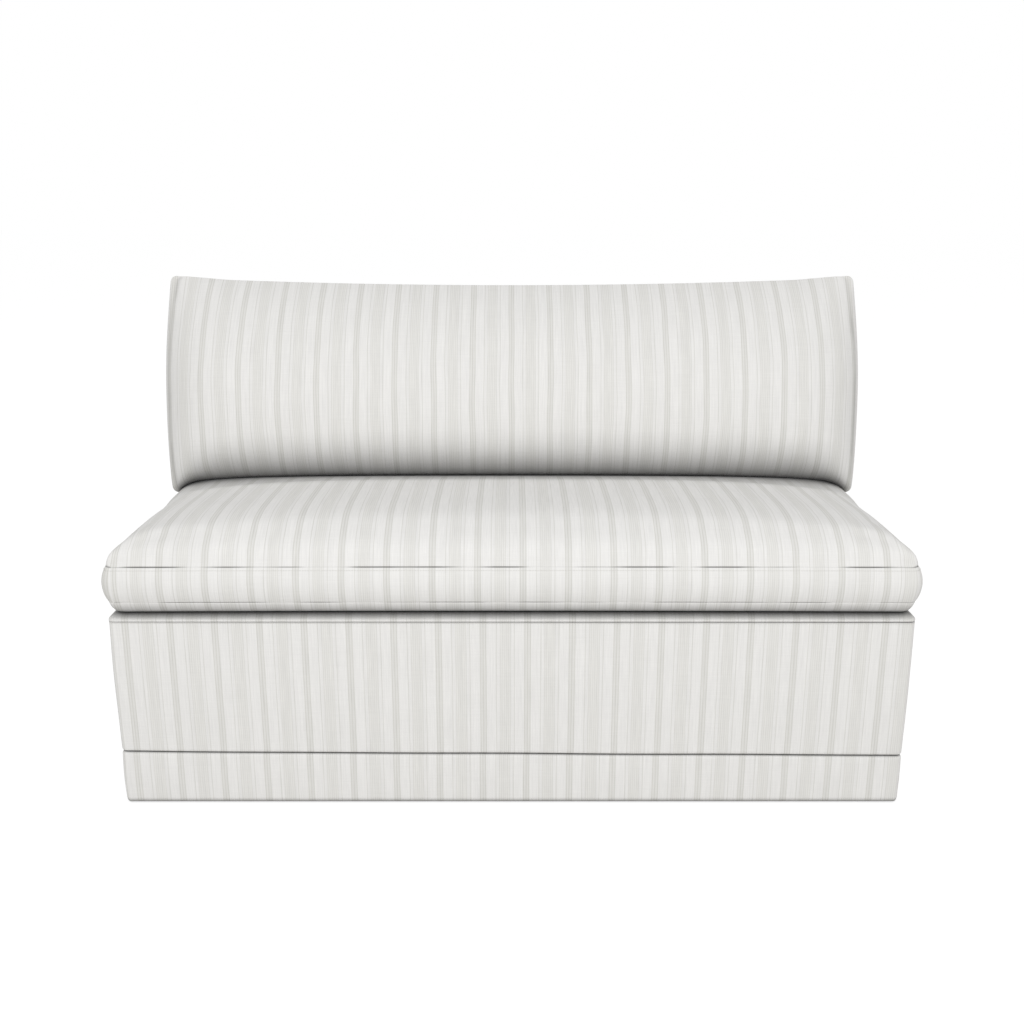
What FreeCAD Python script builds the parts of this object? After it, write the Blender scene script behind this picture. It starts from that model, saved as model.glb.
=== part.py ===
import FreeCAD, Part
import math
import os

import Sketcher
from FreeCAD import Placement, Rotation, Vector

# Armless two-seat banquette: a covered plinth and base box, a raked back, a loose bench
# seat cushion and a loose back cushion. Millimetres, +Z up, front towards -Y, origin on
# the floor under the middle of the whole piece.

doc = FreeCAD.newDocument("banquette")
sizes = doc.addObject("Spreadsheet::Sheet", "sizes")
nodes = []
drills = []


# Driving sizes of the sheet, in millimetres and degrees
driving_sizes = {
    # Overall forms
    "base_width": 1376,
    "base_depth": 680,
    "plinth_top": 99,
    "base_top": 346,
    "deck_top": 365,
    "back_top": 820,
    "back_foot_depth": 160,
    "back_rake": 12.5,
    # Upholstery layers
    "cover_gauge": 2,
    "wadding_gauge": 8,
    "cover_corner": 18,
    "cover_return": 24,
    "deck_edge": 14,
    "deck_foam_gauge": 21,
    "deck_felt_gauge": 3,
    "edge_roll_width": 10,
    "back_pad_gauge": 12,
    "back_edge": 9,
    "web_gauge": 2,
    "web_width": 50,
    "web_pitch": 125,
    "web_rise": 120,
    "outer_board_gauge": 3,
    "outer_board_foot": 340,
    "dust_gauge": 1,
    "dust_inset": 4,
    "tuck_gap": 0.5,
    # Timber frame
    "board_gauge": 22,
    "cross_rail_rise": 70,
    "cross_rail_place": 230,
    "spring_rail_gap": 18,
    "post_top": 780,
    "lower_rail_foot": 375,
    "lower_rail_rise": 45,
    "block_leg": 55,
    "block_set": 12,
    # Fasteners and fittings
    "dowel_radius": 5,
    "dowel_length": 36,
    "dowel_edge": 25,
    "drill_clearance": 0.1,
    "plate_width": 30,
    "plate_rise": 90,
    "plate_gauge": 2.5,
    "plate_place": 420,
    "screw_radius": 2,
    "screw_length": 16,
    "screw_head_radius": 4,
    "screw_head_rise": 2,
    "screw_near": 15,
    "screw_far": 33,
    "lag_radius": 4,
    "lag_length": 75,
    "lag_head_radius": 7,
    "lag_head_rise": 5,
    "lag_recess": 6,
    "lag_recess_radius": 11,
    "lag_edge": 60,
    "glide_rise": 5,
    "glide_radius": 10,
    "glide_edge": 1.2,
    "glide_inset": 60,
    "glide_nail_radius": 1.5,
    "glide_nail_length": 16,
    # Seat springs
    "spring_count": 8,
    "spring_pitch": 155,
    "spring_width": 48,
    "spring_bend": 11,
    "spring_wire": 2,
    "spring_set": 7,
    "tie_wire": 1.5,
    "tie_place": 90,
    "clip_width": 20,
    "clip_gauge": 1,
    "wire_clearance": 0.2,
    # Seat cushion
    "seat_overhang": 13.5,
    "seat_side_inset": 1,
    "seat_tuck": 2.5,
    "seat_gap": 0.4,
    "seat_under_rise": 17,
    "seat_under_run": 45,
    "seat_boxing_rise": 68,
    "seat_bulge": 9,
    "seat_crown_rise": 71,
    "seat_crown_run": 190,
    "seat_rear_run": 235,
    "seat_corner": 34,
    "seat_corner_widen": 0.6,
    "seat_draw": 4,
    "seat_wrap_gauge": 20,
    "seat_core_rise": 75,
    # Back cushion, measured along and across its own lean
    "pillow_gap": 7,
    "pillow_side_proud": 8,
    "pillow_rise": 437,
    "pillow_ear_top": 885,
    "pillow_dip": 17,
    "pillow_arch": 38.2,
    "pillow_ear": 62,
    "pillow_ear_floor": 2.5,
    "pillow_ear_fade": 1.5,
    "pillow_ear_spread": 1.5,
    "pillow_swell": 8,
    "pillow_corner": 20,
    "pillow_front": 119,
    "pillow_rear": 74,
    "pillow_top_run": 240,
    "pillow_bottom_run": 140,
    "pillow_fullness": 2.7,
    "pillow_side_run": 150,
    "pillow_rear_run": 90,
    # Zips of both cushions
    "zip_length": 900,
    "zip_end": 12,
    "zip_tape_width": 22,
    "zip_tape_gauge": 1,
    "zip_chain_width": 5,
    "zip_chain_gauge": 1.5,
    "zip_clearance": 0.3,
    "zip_place": 285,
    "slider_length": 11,
    "slider_width": 9,
    "slider_gauge": 1.6,
    "pull_length": 26,
    "pull_width": 5,
    "pull_gauge": 1,
}

# Sizes that follow from the driving ones
derived_sizes = {
    "skin": "=cover_gauge + wadding_gauge",
    "base_half": "=base_width / 2",
    "cloth_half": "=base_half - cover_gauge",
    "frame_half": "=base_half - skin",
    "inner_half": "=frame_half - board_gauge",
    "front_face": "=seat_overhang - (base_depth + seat_overhang) / 2",
    "rear_face": "=front_face + base_depth",
    "frame_front": "=front_face + skin",
    "frame_rear": "=rear_face - skin",
    "rail_front": "=frame_front + board_gauge",
    "rail_rear": "=frame_rear - board_gauge",
    "side_middle": "=frame_half - board_gauge / 2",
    "spring_room": "=2 * spring_wire + 2 * tie_wire + wire_clearance",
    "foam_foot": "=deck_top - cover_gauge - deck_foam_gauge",
    "felt_foot": "=foam_foot - deck_felt_gauge",
    "rail_top": "=felt_foot - spring_room",
    "lean": "=tan(back_rake)",
    "lean_scale": "=1 / cos(back_rake)",
    "back_foot_face": "=rear_face - back_foot_depth",
    "pad_layer": "=cover_gauge + back_pad_gauge",
    "post_layer": "=pad_layer + web_gauge",
    "rail_layer": "=post_layer + web_gauge",
    "post_front": "=back_foot_face + post_layer * lean_scale",
    "spring_rail_rear": "=post_front - spring_rail_gap",
    "spring_rail_front": "=spring_rail_rear - board_gauge",
    "deck_rear": "=back_foot_face - (deck_top - foam_foot) * lean - tuck_gap",
    "top_pad": "=back_top - cover_gauge",
    "top_rail_top": "=top_pad - wadding_gauge",
    "seat_foot": "=deck_top + seat_gap",
    "seat_half": "=base_half - seat_side_inset",
    "seat_rear": "=back_foot_face + seat_tuck",
    "pillow_half": "=base_half + pillow_side_proud",
    "seat_zip_height": "=seat_foot + seat_under_rise + seat_boxing_rise / 2",
    "pillow_layer": "=pillow_gap + pillow_rear",
}

all_sizes = {**driving_sizes, **derived_sizes}
for row, (name, size) in enumerate(all_sizes.items(), 1):
    sizes.set(f"A{row}", name)
    sizes.set(f"B{row}", str(size))
    sizes.setAlias(f"B{row}", name)
doc.recompute()


def value(text):
    """Present value of a row of the sheet or of an expression of rows."""
    return float(sizes.evalExpression(text))


def rows(text):
    """Expression for a property: each word that names a row is looked up in the sheet."""
    words = text.replace("(", " ( ").replace(")", " ) ").split()
    return " ".join("sizes." + word if word in all_sizes else word for word in words)


def bind(piece, **texts):
    for name, text in texts.items():
        piece.setExpression(name, rows(text))


def place(piece, x, y, z):
    for axis, text in (("x", x), ("y", y), ("z", z)):
        piece.setExpression(f"Placement.Base.{axis}", rows(text))


def box(name, x, y, z, length, width, height):
    piece = doc.addObject("Part::Box", name)
    bind(piece, Length=length, Width=width, Height=height)
    place(piece, x, y, z)
    return piece


AXIS_TURN = {
    "x": Rotation(Vector(0, 1, 0), 90),
    "y": Rotation(Vector(1, 0, 0), -90),
    "z": Rotation(),
}


def rod(name, axis, x, y, z, radius, length):
    """Round bar from a start point along an axis."""
    piece = doc.addObject("Part::Cylinder", name)
    piece.Placement = Placement(Vector(), AXIS_TURN[axis])
    bind(piece, Radius=radius, Height=length)
    place(piece, x, y, z)
    return piece


def drill(name, axis, x, y, z, radius, length):
    """Hole for a fastener that starts at the same point, with the named clearance all round."""
    start = {"x": x, "y": y, "z": z}
    start[axis] = f"{start[axis]} - drill_clearance"
    wide = f"{radius} + drill_clearance"
    long = f"{length} + 2 * drill_clearance"
    drills.append(rod(f"{name}_drill", axis, start["x"], start["y"], start["z"], wide, long))


def fuse(name, pieces):
    piece = doc.addObject("Part::MultiFuse", name)
    piece.Shapes = pieces
    return piece


def group(name, pieces):
    piece = doc.addObject("Part::Compound", name)
    piece.Links = pieces
    return piece


def cut(name, base, tool):
    piece = doc.addObject("Part::Cut", name)
    piece.Base = base
    piece.Tool = tool
    return piece


def keep(piece, label):
    """Mark an object as a finished piece; its label names its file."""
    piece.Label = label
    nodes.append(piece)
    return piece


def prism(name, plane, points, start, length):
    """Body padded from a polygon on the YZ plane (along X) or on the XY plane (along Z)."""
    body = doc.addObject("PartDesign::Body", name)
    sketch = body.newObject("Sketcher::SketchObject", f"{name}_sketch")
    support = [
        plane_feature for plane_feature in body.Origin.OriginFeatures if plane_feature.Role == plane
    ]
    sketch.AttachmentSupport = [(support[0], "")]
    sketch.MapMode = "FlatFace"
    corners = [Vector(value(across), value(up), 0) for across, up in points]
    count = len(corners)
    for i in range(count):
        sketch.addGeometry(Part.LineSegment(corners[i], corners[(i + 1) % count]))
    for i in range(count):
        sketch.addConstraint(Sketcher.Constraint("Coincident", i, 2, (i + 1) % count, 1))
    for i, (across, up) in enumerate(points):
        for kind, text in (("DistanceX", across), ("DistanceY", up)):
            index = sketch.addConstraint(Sketcher.Constraint(kind, -1, 1, i, 1, value(text)))
            sketch.setExpression(f"Constraints[{index}]", rows(text))
    pad = body.newObject("PartDesign::Pad", f"{name}_pad")
    pad.Profile = sketch
    bind(pad, Length=length)
    axis = "x" if plane == "YZ_Plane" else "z"
    body.setExpression(f"Placement.Base.{axis}", rows(start))
    return body


def round_edges(body, name, radius, pick):
    """Fillet on the edges of the body that the pick function chooses."""
    doc.recompute()
    base = body.Tip
    picked = [f"Edge{i}" for i, edge in enumerate(base.Shape.Edges, 1) if pick(edge.BoundBox)]
    fillet = body.newObject("PartDesign::Fillet", name)
    fillet.Base = (base, picked)
    bind(fillet, Radius=radius)


def near(first, second):
    return abs(first - second) < 0.001


def upright_at(x, y):
    """Picks the upright edges that stand at plus or minus x and at y."""

    def pick(box_of_edge):
        thin = near(box_of_edge.XLength, 0) and near(box_of_edge.YLength, 0)
        return thin and near(abs(box_of_edge.XMin), value(x)) and near(box_of_edge.YMin, value(y))

    return pick


def lengthwise_at(y, z):
    """Picks the edge along X that lies at y and z."""

    def pick(box_of_edge):
        thin = near(box_of_edge.YLength, 0) and near(box_of_edge.ZLength, 0)
        return thin and near(box_of_edge.YMin, value(y)) and near(box_of_edge.ZMin, value(z))

    return pick


def raked(layer, height):
    """Distance in Y of a plane that lies a number of mm behind the inside of the back."""
    return f"back_foot_face + ( {height} - deck_top ) * lean + ( {layer} ) * lean_scale"


def raked_layer(front_layer, rear_layer, foot, top):
    """Polygon between two planes of the back and two heights."""
    return [
        (raked(front_layer, foot), foot),
        (raked(front_layer, top), top),
        (raked(rear_layer, top), top),
        (raked(rear_layer, foot), foot),
    ]


# Timber blanks: plinth boards, base rails and the two cross rails
plinth_rise = "plinth_top - glide_rise"
rail_rise = "rail_top - plinth_top"
full = "2 * frame_half"
inside = "rail_rear - rail_front"
side_run = "post_front - rail_front"
cross_run = "spring_rail_front - rail_front"
timber = []


def board(name, x, y, z, length, width, height):
    timber.append((name, box(f"{name}_blank", x, y, z, length, width, height)))


board(
    "plinth_front_board", "0 - frame_half", "frame_front", "glide_rise", full, "board_gauge", plinth_rise
)
board("plinth_rear_board", "0 - frame_half", "rail_rear", "glide_rise", full, "board_gauge", plinth_rise)
board(
    "plinth_left_board", "0 - frame_half", "rail_front", "glide_rise", "board_gauge", inside, plinth_rise
)
board("plinth_right_board", "inner_half", "rail_front", "glide_rise", "board_gauge", inside, plinth_rise)
board(
    "plinth_centre_board",
    "0 - board_gauge / 2",
    "rail_front",
    "glide_rise",
    "board_gauge",
    inside,
    plinth_rise,
)
board("base_front_rail", "0 - frame_half", "frame_front", "plinth_top", full, "board_gauge", rail_rise)
board("base_rear_rail", "0 - frame_half", "rail_rear", "plinth_top", full, "board_gauge", rail_rise)
board("base_left_rail", "0 - frame_half", "rail_front", "plinth_top", "board_gauge", side_run, rail_rise)
board("base_right_rail", "inner_half", "rail_front", "plinth_top", "board_gauge", side_run, rail_rise)
board(
    "spring_rail",
    "0 - inner_half",
    "spring_rail_front",
    "plinth_top",
    "2 * inner_half",
    "board_gauge",
    rail_rise,
)
cross_rails = []
for side in ("0 - cross_rail_place - board_gauge / 2", "cross_rail_place - board_gauge / 2"):
    name = f"cross_rail_{len(cross_rails)}"
    cross_rails.append(
        box(name, side, "rail_front", "plinth_top", "board_gauge", cross_run, "cross_rail_rise")
    )
timber.append(("cross_rails", group("cross_rail_blanks", cross_rails)))

# Back posts, notched over the rear rail, with the raked front edge that carries the webbing
post_outline = [
    ("post_front", "plinth_top"),
    ("post_front", "deck_top"),
    (raked("post_layer", "post_top"), "post_top"),
    ("frame_rear", "post_top"),
    ("frame_rear", "rail_top"),
    ("rail_rear", "rail_top"),
    ("rail_rear", "plinth_top"),
]
for name, start in (
    ("back_post_left", "0 - frame_half"),
    ("back_post_centre", "0 - board_gauge / 2"),
    ("back_post_right", "inner_half"),
):
    timber.append((name, prism(f"{name}_blank", "YZ_Plane", post_outline, start, "board_gauge")))

# Rails of the back: the top rail lies over the posts, the lower rails stand between them
top_rail_outline = [
    (raked("rail_layer", "post_top"), "post_top"),
    (raked("rail_layer", "top_rail_top"), "top_rail_top"),
    ("frame_rear", "top_rail_top"),
    ("frame_rear", "post_top"),
]
timber.append(
    ("back_top_rail", prism("back_top_rail_blank", "YZ_Plane", top_rail_outline, "0 - frame_half", full))
)
lower_top = "lower_rail_foot + lower_rail_rise"
lower_rear = "rail_layer + board_gauge"
lower_outline = raked_layer("rail_layer", lower_rear, "lower_rail_foot", lower_top)
bay = "inner_half - board_gauge / 2"
lower_rails = []
for start in ("0 - inner_half", "board_gauge / 2"):
    lower_rails.append(prism(f"lower_rail_{len(lower_rails)}", "YZ_Plane", lower_outline, start, bay))
timber.append(("lower_back_rails", group("lower_rail_blanks", lower_rails)))

# Dust cover: one sheet under the plinth, held by the glides' nails
dust_span = "2 * frame_half - 2 * dust_inset"
dust_depth = "frame_rear - frame_front - 2 * dust_inset"
dust_foot = "glide_rise - dust_gauge"
board(
    "dust_cover",
    "dust_inset - frame_half",
    "frame_front + dust_inset",
    dust_foot,
    dust_span,
    dust_depth,
    "dust_gauge",
)

# Dowels at every joint of the timber frame
dowels = []


def dowel(axis, x, y, z):
    """Dowel whose middle lies on the joint."""
    name = f"dowel_{len(dowels)}"
    start = {"x": x, "y": y, "z": z}
    start[axis] = f"{start[axis]} - dowel_length / 2"
    dowels.append(rod(name, axis, start["x"], start["y"], start["z"], "dowel_radius", "dowel_length"))
    drill(name, axis, start["x"], start["y"], start["z"], "dowel_radius", "dowel_length")


both_sides = ("0 - side_middle", "side_middle")
plinth_heights = ("glide_rise + dowel_edge", "plinth_top - dowel_edge")
rail_heights = ("plinth_top + dowel_edge", "rail_top - dowel_edge")
for height in plinth_heights:
    for joint in ("rail_front", "rail_rear"):
        for side in ("0 - side_middle", "0", "side_middle"):
            dowel("y", side, joint, height)
for height in rail_heights:
    for side in both_sides:
        dowel("y", side, "rail_front", height)
        dowel("y", side, "post_front", height)
    for joint in ("0 - inner_half", "inner_half"):
        dowel("x", joint, "spring_rail_front + board_gauge / 2", height)
for side in ("0 - cross_rail_place", "cross_rail_place"):
    for joint in ("rail_front", "spring_rail_front"):
        dowel("y", side, joint, "plinth_top + cross_rail_rise / 2")
top_middle = f"( {raked('rail_layer', 'post_top')} + frame_rear ) / 2"
for side in ("0 - side_middle", "0", "side_middle"):
    dowel("z", side, top_middle, "post_top")
lower_height = "( lower_rail_foot + lower_rail_rise / 2 )"
lower_middle = raked("rail_layer + board_gauge / 2", lower_height)
for joint in ("0 - inner_half", "0", "inner_half"):
    dowel("x", joint, lower_middle, lower_height)
keep(group("dowels", dowels), "frame_dowels")

# Lag screws through the rear rail into the posts, heads sunk below the rail's face
lags = []
lag_seat = "frame_rear - lag_recess"
lag_tip = "frame_rear - lag_recess - lag_length"
for i, height in enumerate(("plinth_top + lag_edge", "rail_top - lag_edge")):
    for k, side in enumerate(("0 - side_middle", "0", "side_middle")):
        name = f"lag_{i}_{k}"
        shank = rod(f"{name}_shank", "y", side, lag_tip, height, "lag_radius", "lag_length")
        head = doc.addObject("Part::Prism", f"{name}_head")
        head.Placement = Placement(Vector(), AXIS_TURN["y"])
        bind(head, Circumradius="lag_head_radius", Height="lag_head_rise")
        place(head, side, lag_seat, height)
        lags.append(fuse(name, [shank, head]))
        drill(f"{name}_shank", "y", side, lag_tip, height, "lag_radius", "lag_length")
        drill(f"{name}_head", "y", side, lag_seat, height, "lag_recess_radius", "lag_recess")
keep(group("lags", lags), "lag_screws")

# Joining plates on the inside of the plinth and base, each with a row of four screws
plates = []
screws = []


def joining_plate(axis, outward, face, along):
    """Plate on an inner face: outward is the side of the face it lies on, along its middle."""
    name = f"plate_{len(plates)}"
    low = face if outward > 0 else f"{face} - plate_gauge"
    side = f"{along} - plate_width / 2"
    foot = "plinth_top - plate_rise / 2"
    if axis == "y":
        plates.append(box(name, side, low, foot, "plate_width", "plate_gauge", "plate_rise"))
    else:
        plates.append(box(name, low, side, foot, "plate_gauge", "plate_width", "plate_rise"))
    shank = f"{face} + plate_gauge - screw_length" if outward > 0 else f"{face} - plate_gauge"
    head = f"{face} + plate_gauge" if outward > 0 else f"{face} - plate_gauge - screw_head_rise"
    for height in ("screw_near", "screw_far", "0 - screw_near", "0 - screw_far"):
        z = f"plinth_top + {height}"
        screw = f"screw_{len(screws)}"
        ends = []
        for part_name, start, radius, length in (
            ("shank", shank, "screw_radius", "screw_length"),
            ("head", head, "screw_head_radius", "screw_head_rise"),
        ):
            spot = (along, start) if axis == "y" else (start, along)
            ends.append(rod(f"{screw}_{part_name}", axis, spot[0], spot[1], z, radius, length))
        spot = (along, shank) if axis == "y" else (shank, along)
        drill(screw, axis, spot[0], spot[1], z, "screw_radius", "screw_length")
        screws.append(fuse(screw, ends))


for along in ("0 - plate_place", "plate_place"):
    joining_plate("y", 1, "rail_front", along)
    joining_plate("y", -1, "rail_rear", along)
joining_plate("x", 1, "0 - inner_half", "0")
joining_plate("x", -1, "inner_half", "0")
keep(group("screws", screws), "plate_screws")

# Floor glides nailed through the dust cover
glides = []
for y in ("frame_front + board_gauge / 2", "frame_rear - board_gauge / 2"):
    for x in ("glide_inset - frame_half", "0", "frame_half - glide_inset"):
        name = f"glide_{len(glides)}"
        edge = doc.addObject("Part::Cone", f"{name}_edge")
        bind(edge, Radius1="glide_radius - glide_edge", Radius2="glide_radius", Height="glide_edge")
        place(edge, x, y, "0")
        pad_rise = "glide_rise - dust_gauge - glide_edge"
        foot = rod(f"{name}_foot", "z", x, y, "glide_edge", "glide_radius", pad_rise)
        nail_run = "dust_gauge + glide_nail_length"
        nail = rod(f"{name}_nail", "z", x, y, dust_foot, "glide_nail_radius", nail_run)
        drill(name, "z", x, y, dust_foot, "glide_nail_radius", nail_run)
        glides.append(fuse(name, [edge, foot, nail]))
keep(group("glides", glides), "floor_glides")

# Every hole is drilled through whatever timber, plate or sheet it meets
holes = group("holes", drills)
for name, blank in timber:
    keep(cut(name, blank, holes), name)
keep(cut("plates", group("plate_blanks", plates), holes), "joining_plates")

# Glue blocks in the corners of the plinth and of the base
blocks = {"plinth_blocks": [], "base_blocks": []}
for label, foot, rise, rear in (
    ("plinth_blocks", "glide_rise + block_set", "plinth_top - glide_rise - 2 * block_set", "rail_rear"),
    (
        "base_blocks",
        "plinth_top + block_set",
        "rail_top - plinth_top - 2 * block_set",
        "spring_rail_front",
    ),
):
    for side, inward in (("0 - inner_half", "+"), ("inner_half", "-")):
        for corner, back in (("rail_front", "+"), (rear, "-")):
            outline = [
                (side, corner),
                (f"{side} {inward} block_leg", corner),
                (side, f"{corner} {back} block_leg"),
            ]
            name = f"{label}_{len(blocks[label])}"
            blocks[label].append(prism(name, "XY_Plane", outline, foot, rise))
    keep(group(f"{label}_group", blocks[label]), f"{label[:-1]}_set")


# Sinuous seat springs from the front rail to the spring rail: cross runs joined by half turns
def spring_shape(x):
    wire = value("spring_wire")
    height = value("rail_top") + wire
    first = value("rail_front - spring_set")
    run = value("spring_rail_front + spring_set") - first
    turns = max(2, round(run / (2 * value("spring_bend"))))
    bend = run / (2 * turns)
    reach = value("spring_width") / 2 - bend
    edges = []
    side = 1
    for k in range(turns + 1):
        y = first + 2 * bend * k
        near_end = Vector(x - side * reach, y, height)
        far_end = Vector(x + side * reach, y, height)
        edges.append(Part.makeLine(near_end, far_end))
        if k < turns:
            apex = far_end + Vector(side * bend, bend, 0)
            edges.append(Part.Arc(far_end, apex, far_end + Vector(0, 2 * bend, 0)).toShape())
        side = -side
    section = Part.makeCircle(wire, Vector(x - reach, first, height), Vector(1, 0, 0))
    return Part.Wire(edges).makePipeShell([Part.Wire(section)], True, False)


def feature(name, shape, placement=None):
    """Free-form piece whose shape was made from the sheet's sizes."""
    piece = doc.addObject("Part::Feature", name)
    piece.Shape = shape
    if placement:
        piece.Placement = placement
    return piece


count = round(value("spring_count"))
spring_places = [f"{k - (count - 1) / 2} * spring_pitch" for k in range(count)]
springs = Part.makeCompound([spring_shape(value(x)) for x in spring_places])
keep(feature("springs", springs), "seat_springs")

# Spring clips: small saddles over the springs' end bars, on the front rail and the spring rail
clips = []
clip_outer = "spring_wire + wire_clearance + clip_gauge"
clip_inner = "spring_wire + wire_clearance"
clip_rise = "2 * spring_wire + wire_clearance"
for x in spring_places:
    for y in ("rail_front - spring_set", "spring_rail_front + spring_set"):
        name = f"clip_{len(clips)}"
        side = f"{x} - clip_width / 2"
        wide = f"2 * ( {clip_outer} )"
        shell = box(
            f"{name}_shell",
            side,
            f"{y} - ( {clip_outer} )",
            "rail_top",
            "clip_width",
            wide,
            f"{clip_rise} + clip_gauge",
        )
        slot = box(
            f"{name}_slot",
            side,
            f"{y} - ( {clip_inner} )",
            "rail_top",
            "clip_width",
            f"2 * ( {clip_inner} )",
            clip_rise,
        )
        clips.append(cut(name, shell, slot))
keep(group("clips", clips), "spring_clips")

# Tie wires across the springs
ties = []
tie_reach = f"( {(count - 1) / 2} * spring_pitch + spring_width / 2 )"
for sign in ("-", "+"):
    y = f"( rail_front + spring_rail_front ) / 2 {sign} tie_place"
    z = "rail_top + 2 * spring_wire + tie_wire"
    ties.append(rod(f"tie_{len(ties)}", "x", f"0 - {tie_reach}", y, z, "tie_wire", f"2 * {tie_reach}"))
keep(group("ties", ties), "tie_wires")

# Edge rolls on the rails, felt over the springs
roll_rise = "foam_foot - rail_top"
side_roll = "spring_rail_rear - frame_front - edge_roll_width"
roll_start = "frame_front + edge_roll_width"
rolls = [
    box("front_roll", "0 - frame_half", "frame_front", "rail_top", full, "edge_roll_width", roll_rise),
    box("left_roll", "0 - frame_half", roll_start, "rail_top", "edge_roll_width", side_roll, roll_rise),
    box(
        "right_roll",
        "frame_half - edge_roll_width",
        roll_start,
        "rail_top",
        "edge_roll_width",
        side_roll,
        roll_rise,
    ),
]
keep(group("rolls", rolls), "edge_rolls")
felt_span = "2 * frame_half - 2 * edge_roll_width"
felt_start = "edge_roll_width - frame_half"
keep(
    box("felt", felt_start, roll_start, "felt_foot", felt_span, side_roll, "deck_felt_gauge"), "deck_felt"
)


# Deck foam and deck cover: low blocks with round front corners and a soft top edge
def deck_block(name, half, front, rear, foot, rise, corner, edge):
    outline = [(f"0 - {half}", front), (half, front), (half, rear), (f"0 - {half}", rear)]
    body = prism(name, "XY_Plane", outline, foot, rise)
    round_edges(body, f"{name}_corners", corner, upright_at(half, front))

    def soft(box_of_edge):
        level = near(box_of_edge.ZMin, value(rise)) and near(box_of_edge.ZLength, 0)
        return level and not near(box_of_edge.YMin, value(rear))

    round_edges(body, f"{name}_edge", edge, soft)
    return body


inner_corner = "cover_corner - cover_gauge"
inner_edge = "deck_edge - cover_gauge"
cloth_front = "front_face + cover_gauge"
foam = deck_block(
    "foam",
    "cloth_half",
    cloth_front,
    "deck_rear",
    "foam_foot",
    "deck_foam_gauge",
    inner_corner,
    inner_edge,
)
keep(foam, "deck_foam")
deck_rise = "deck_top - base_top"
deck_outer = deck_block(
    "deck_outer",
    "base_half",
    "front_face",
    "deck_rear",
    "base_top",
    deck_rise,
    "cover_corner",
    "deck_edge",
)
beyond = "deck_rear + cover_gauge"
hollow_rise = "deck_foam_gauge"
deck_inner = deck_block(
    "deck_inner", "cloth_half", cloth_front, beyond, "foam_foot", hollow_rise, inner_corner, inner_edge
)
keep(cut("deck", deck_outer, deck_inner), "deck_cover")


# Covers and wadding of the plinth and base: each front panel turns the corners as a channel
def channel(name, outer_half, inner_half_text, face, inner_face, end, foot, rise, outer_corner, bend):
    outline = [
        (f"0 - {outer_half}", face),
        (outer_half, face),
        (outer_half, end),
        (inner_half_text, end),
        (inner_half_text, inner_face),
        (f"0 - {inner_half_text}", inner_face),
        (f"0 - {inner_half_text}", end),
        (f"0 - {outer_half}", end),
    ]
    body = prism(name, "XY_Plane", outline, foot, rise)
    round_edges(body, f"{name}_outside", outer_corner, upright_at(outer_half, face))
    if bend:
        round_edges(body, f"{name}_inside", bend, upright_at(inner_half_text, inner_face))
    return body


front_end = "front_face + cover_return"
rear_end = "rear_face - cover_return"
cloth_rear = "rear_face - cover_gauge"
base_rise = "base_top - plinth_top"
wad_rise = "foam_foot - plinth_top"


def cover_channel(name, face, inner_face, end, foot, rise):
    return channel(
        name, "base_half", "cloth_half", face, inner_face, end, foot, rise, "cover_corner", inner_corner
    )


def wadding_channel(name, face, inner_face, end, foot, rise):
    return channel(name, "cloth_half", "frame_half", face, inner_face, end, foot, rise, inner_corner, "")


keep(
    cover_channel("plinth_front_cloth", "front_face", cloth_front, front_end, "glide_rise", plinth_rise),
    "plinth_front_cover",
)
keep(
    cover_channel("plinth_rear_cloth", "rear_face", cloth_rear, rear_end, "glide_rise", plinth_rise),
    "plinth_rear_cover",
)
keep(
    cover_channel("base_front_cloth", "front_face", cloth_front, front_end, "plinth_top", base_rise),
    "base_front_cover",
)
plinth_wads = [
    wadding_channel("plinth_front_wad", cloth_front, "frame_front", front_end, "glide_rise", plinth_rise),
    wadding_channel("plinth_rear_wad", cloth_rear, "frame_rear", rear_end, "glide_rise", plinth_rise),
]
base_wads = [
    wadding_channel("base_front_wad", cloth_front, "frame_front", front_end, "plinth_top", wad_rise)
]
plinth_run = "rear_face - front_face - 2 * cover_return"
base_run = "rear_face - cover_gauge - front_face - cover_return"
wad_run = "frame_rear - front_face - cover_return"
for hand, cloth_x, wad_x in (
    ("left", "0 - base_half", "0 - cloth_half"), ("right", "cloth_half", "frame_half")
):
    plinth_side = box(
        f"plinth_{hand}_cloth", cloth_x, front_end, "glide_rise", "cover_gauge", plinth_run, plinth_rise
    )
    keep(plinth_side, f"plinth_{hand}_cover")
    base_side = box(
        f"base_{hand}_cloth", cloth_x, front_end, "plinth_top", "cover_gauge", base_run, base_rise
    )
    keep(base_side, f"base_{hand}_cover")
    plinth_wads.append(
        box(
            f"plinth_{hand}_wad", wad_x, front_end, "glide_rise", "wadding_gauge", plinth_run, plinth_rise
        ),
    )
    base_wads.append(
        box(f"base_{hand}_wad", wad_x, front_end, "plinth_top", "wadding_gauge", wad_run, wad_rise)
    )
keep(group("plinth_wads", plinth_wads), "plinth_wadding")
keep(group("base_wads", base_wads), "base_wadding")

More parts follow.
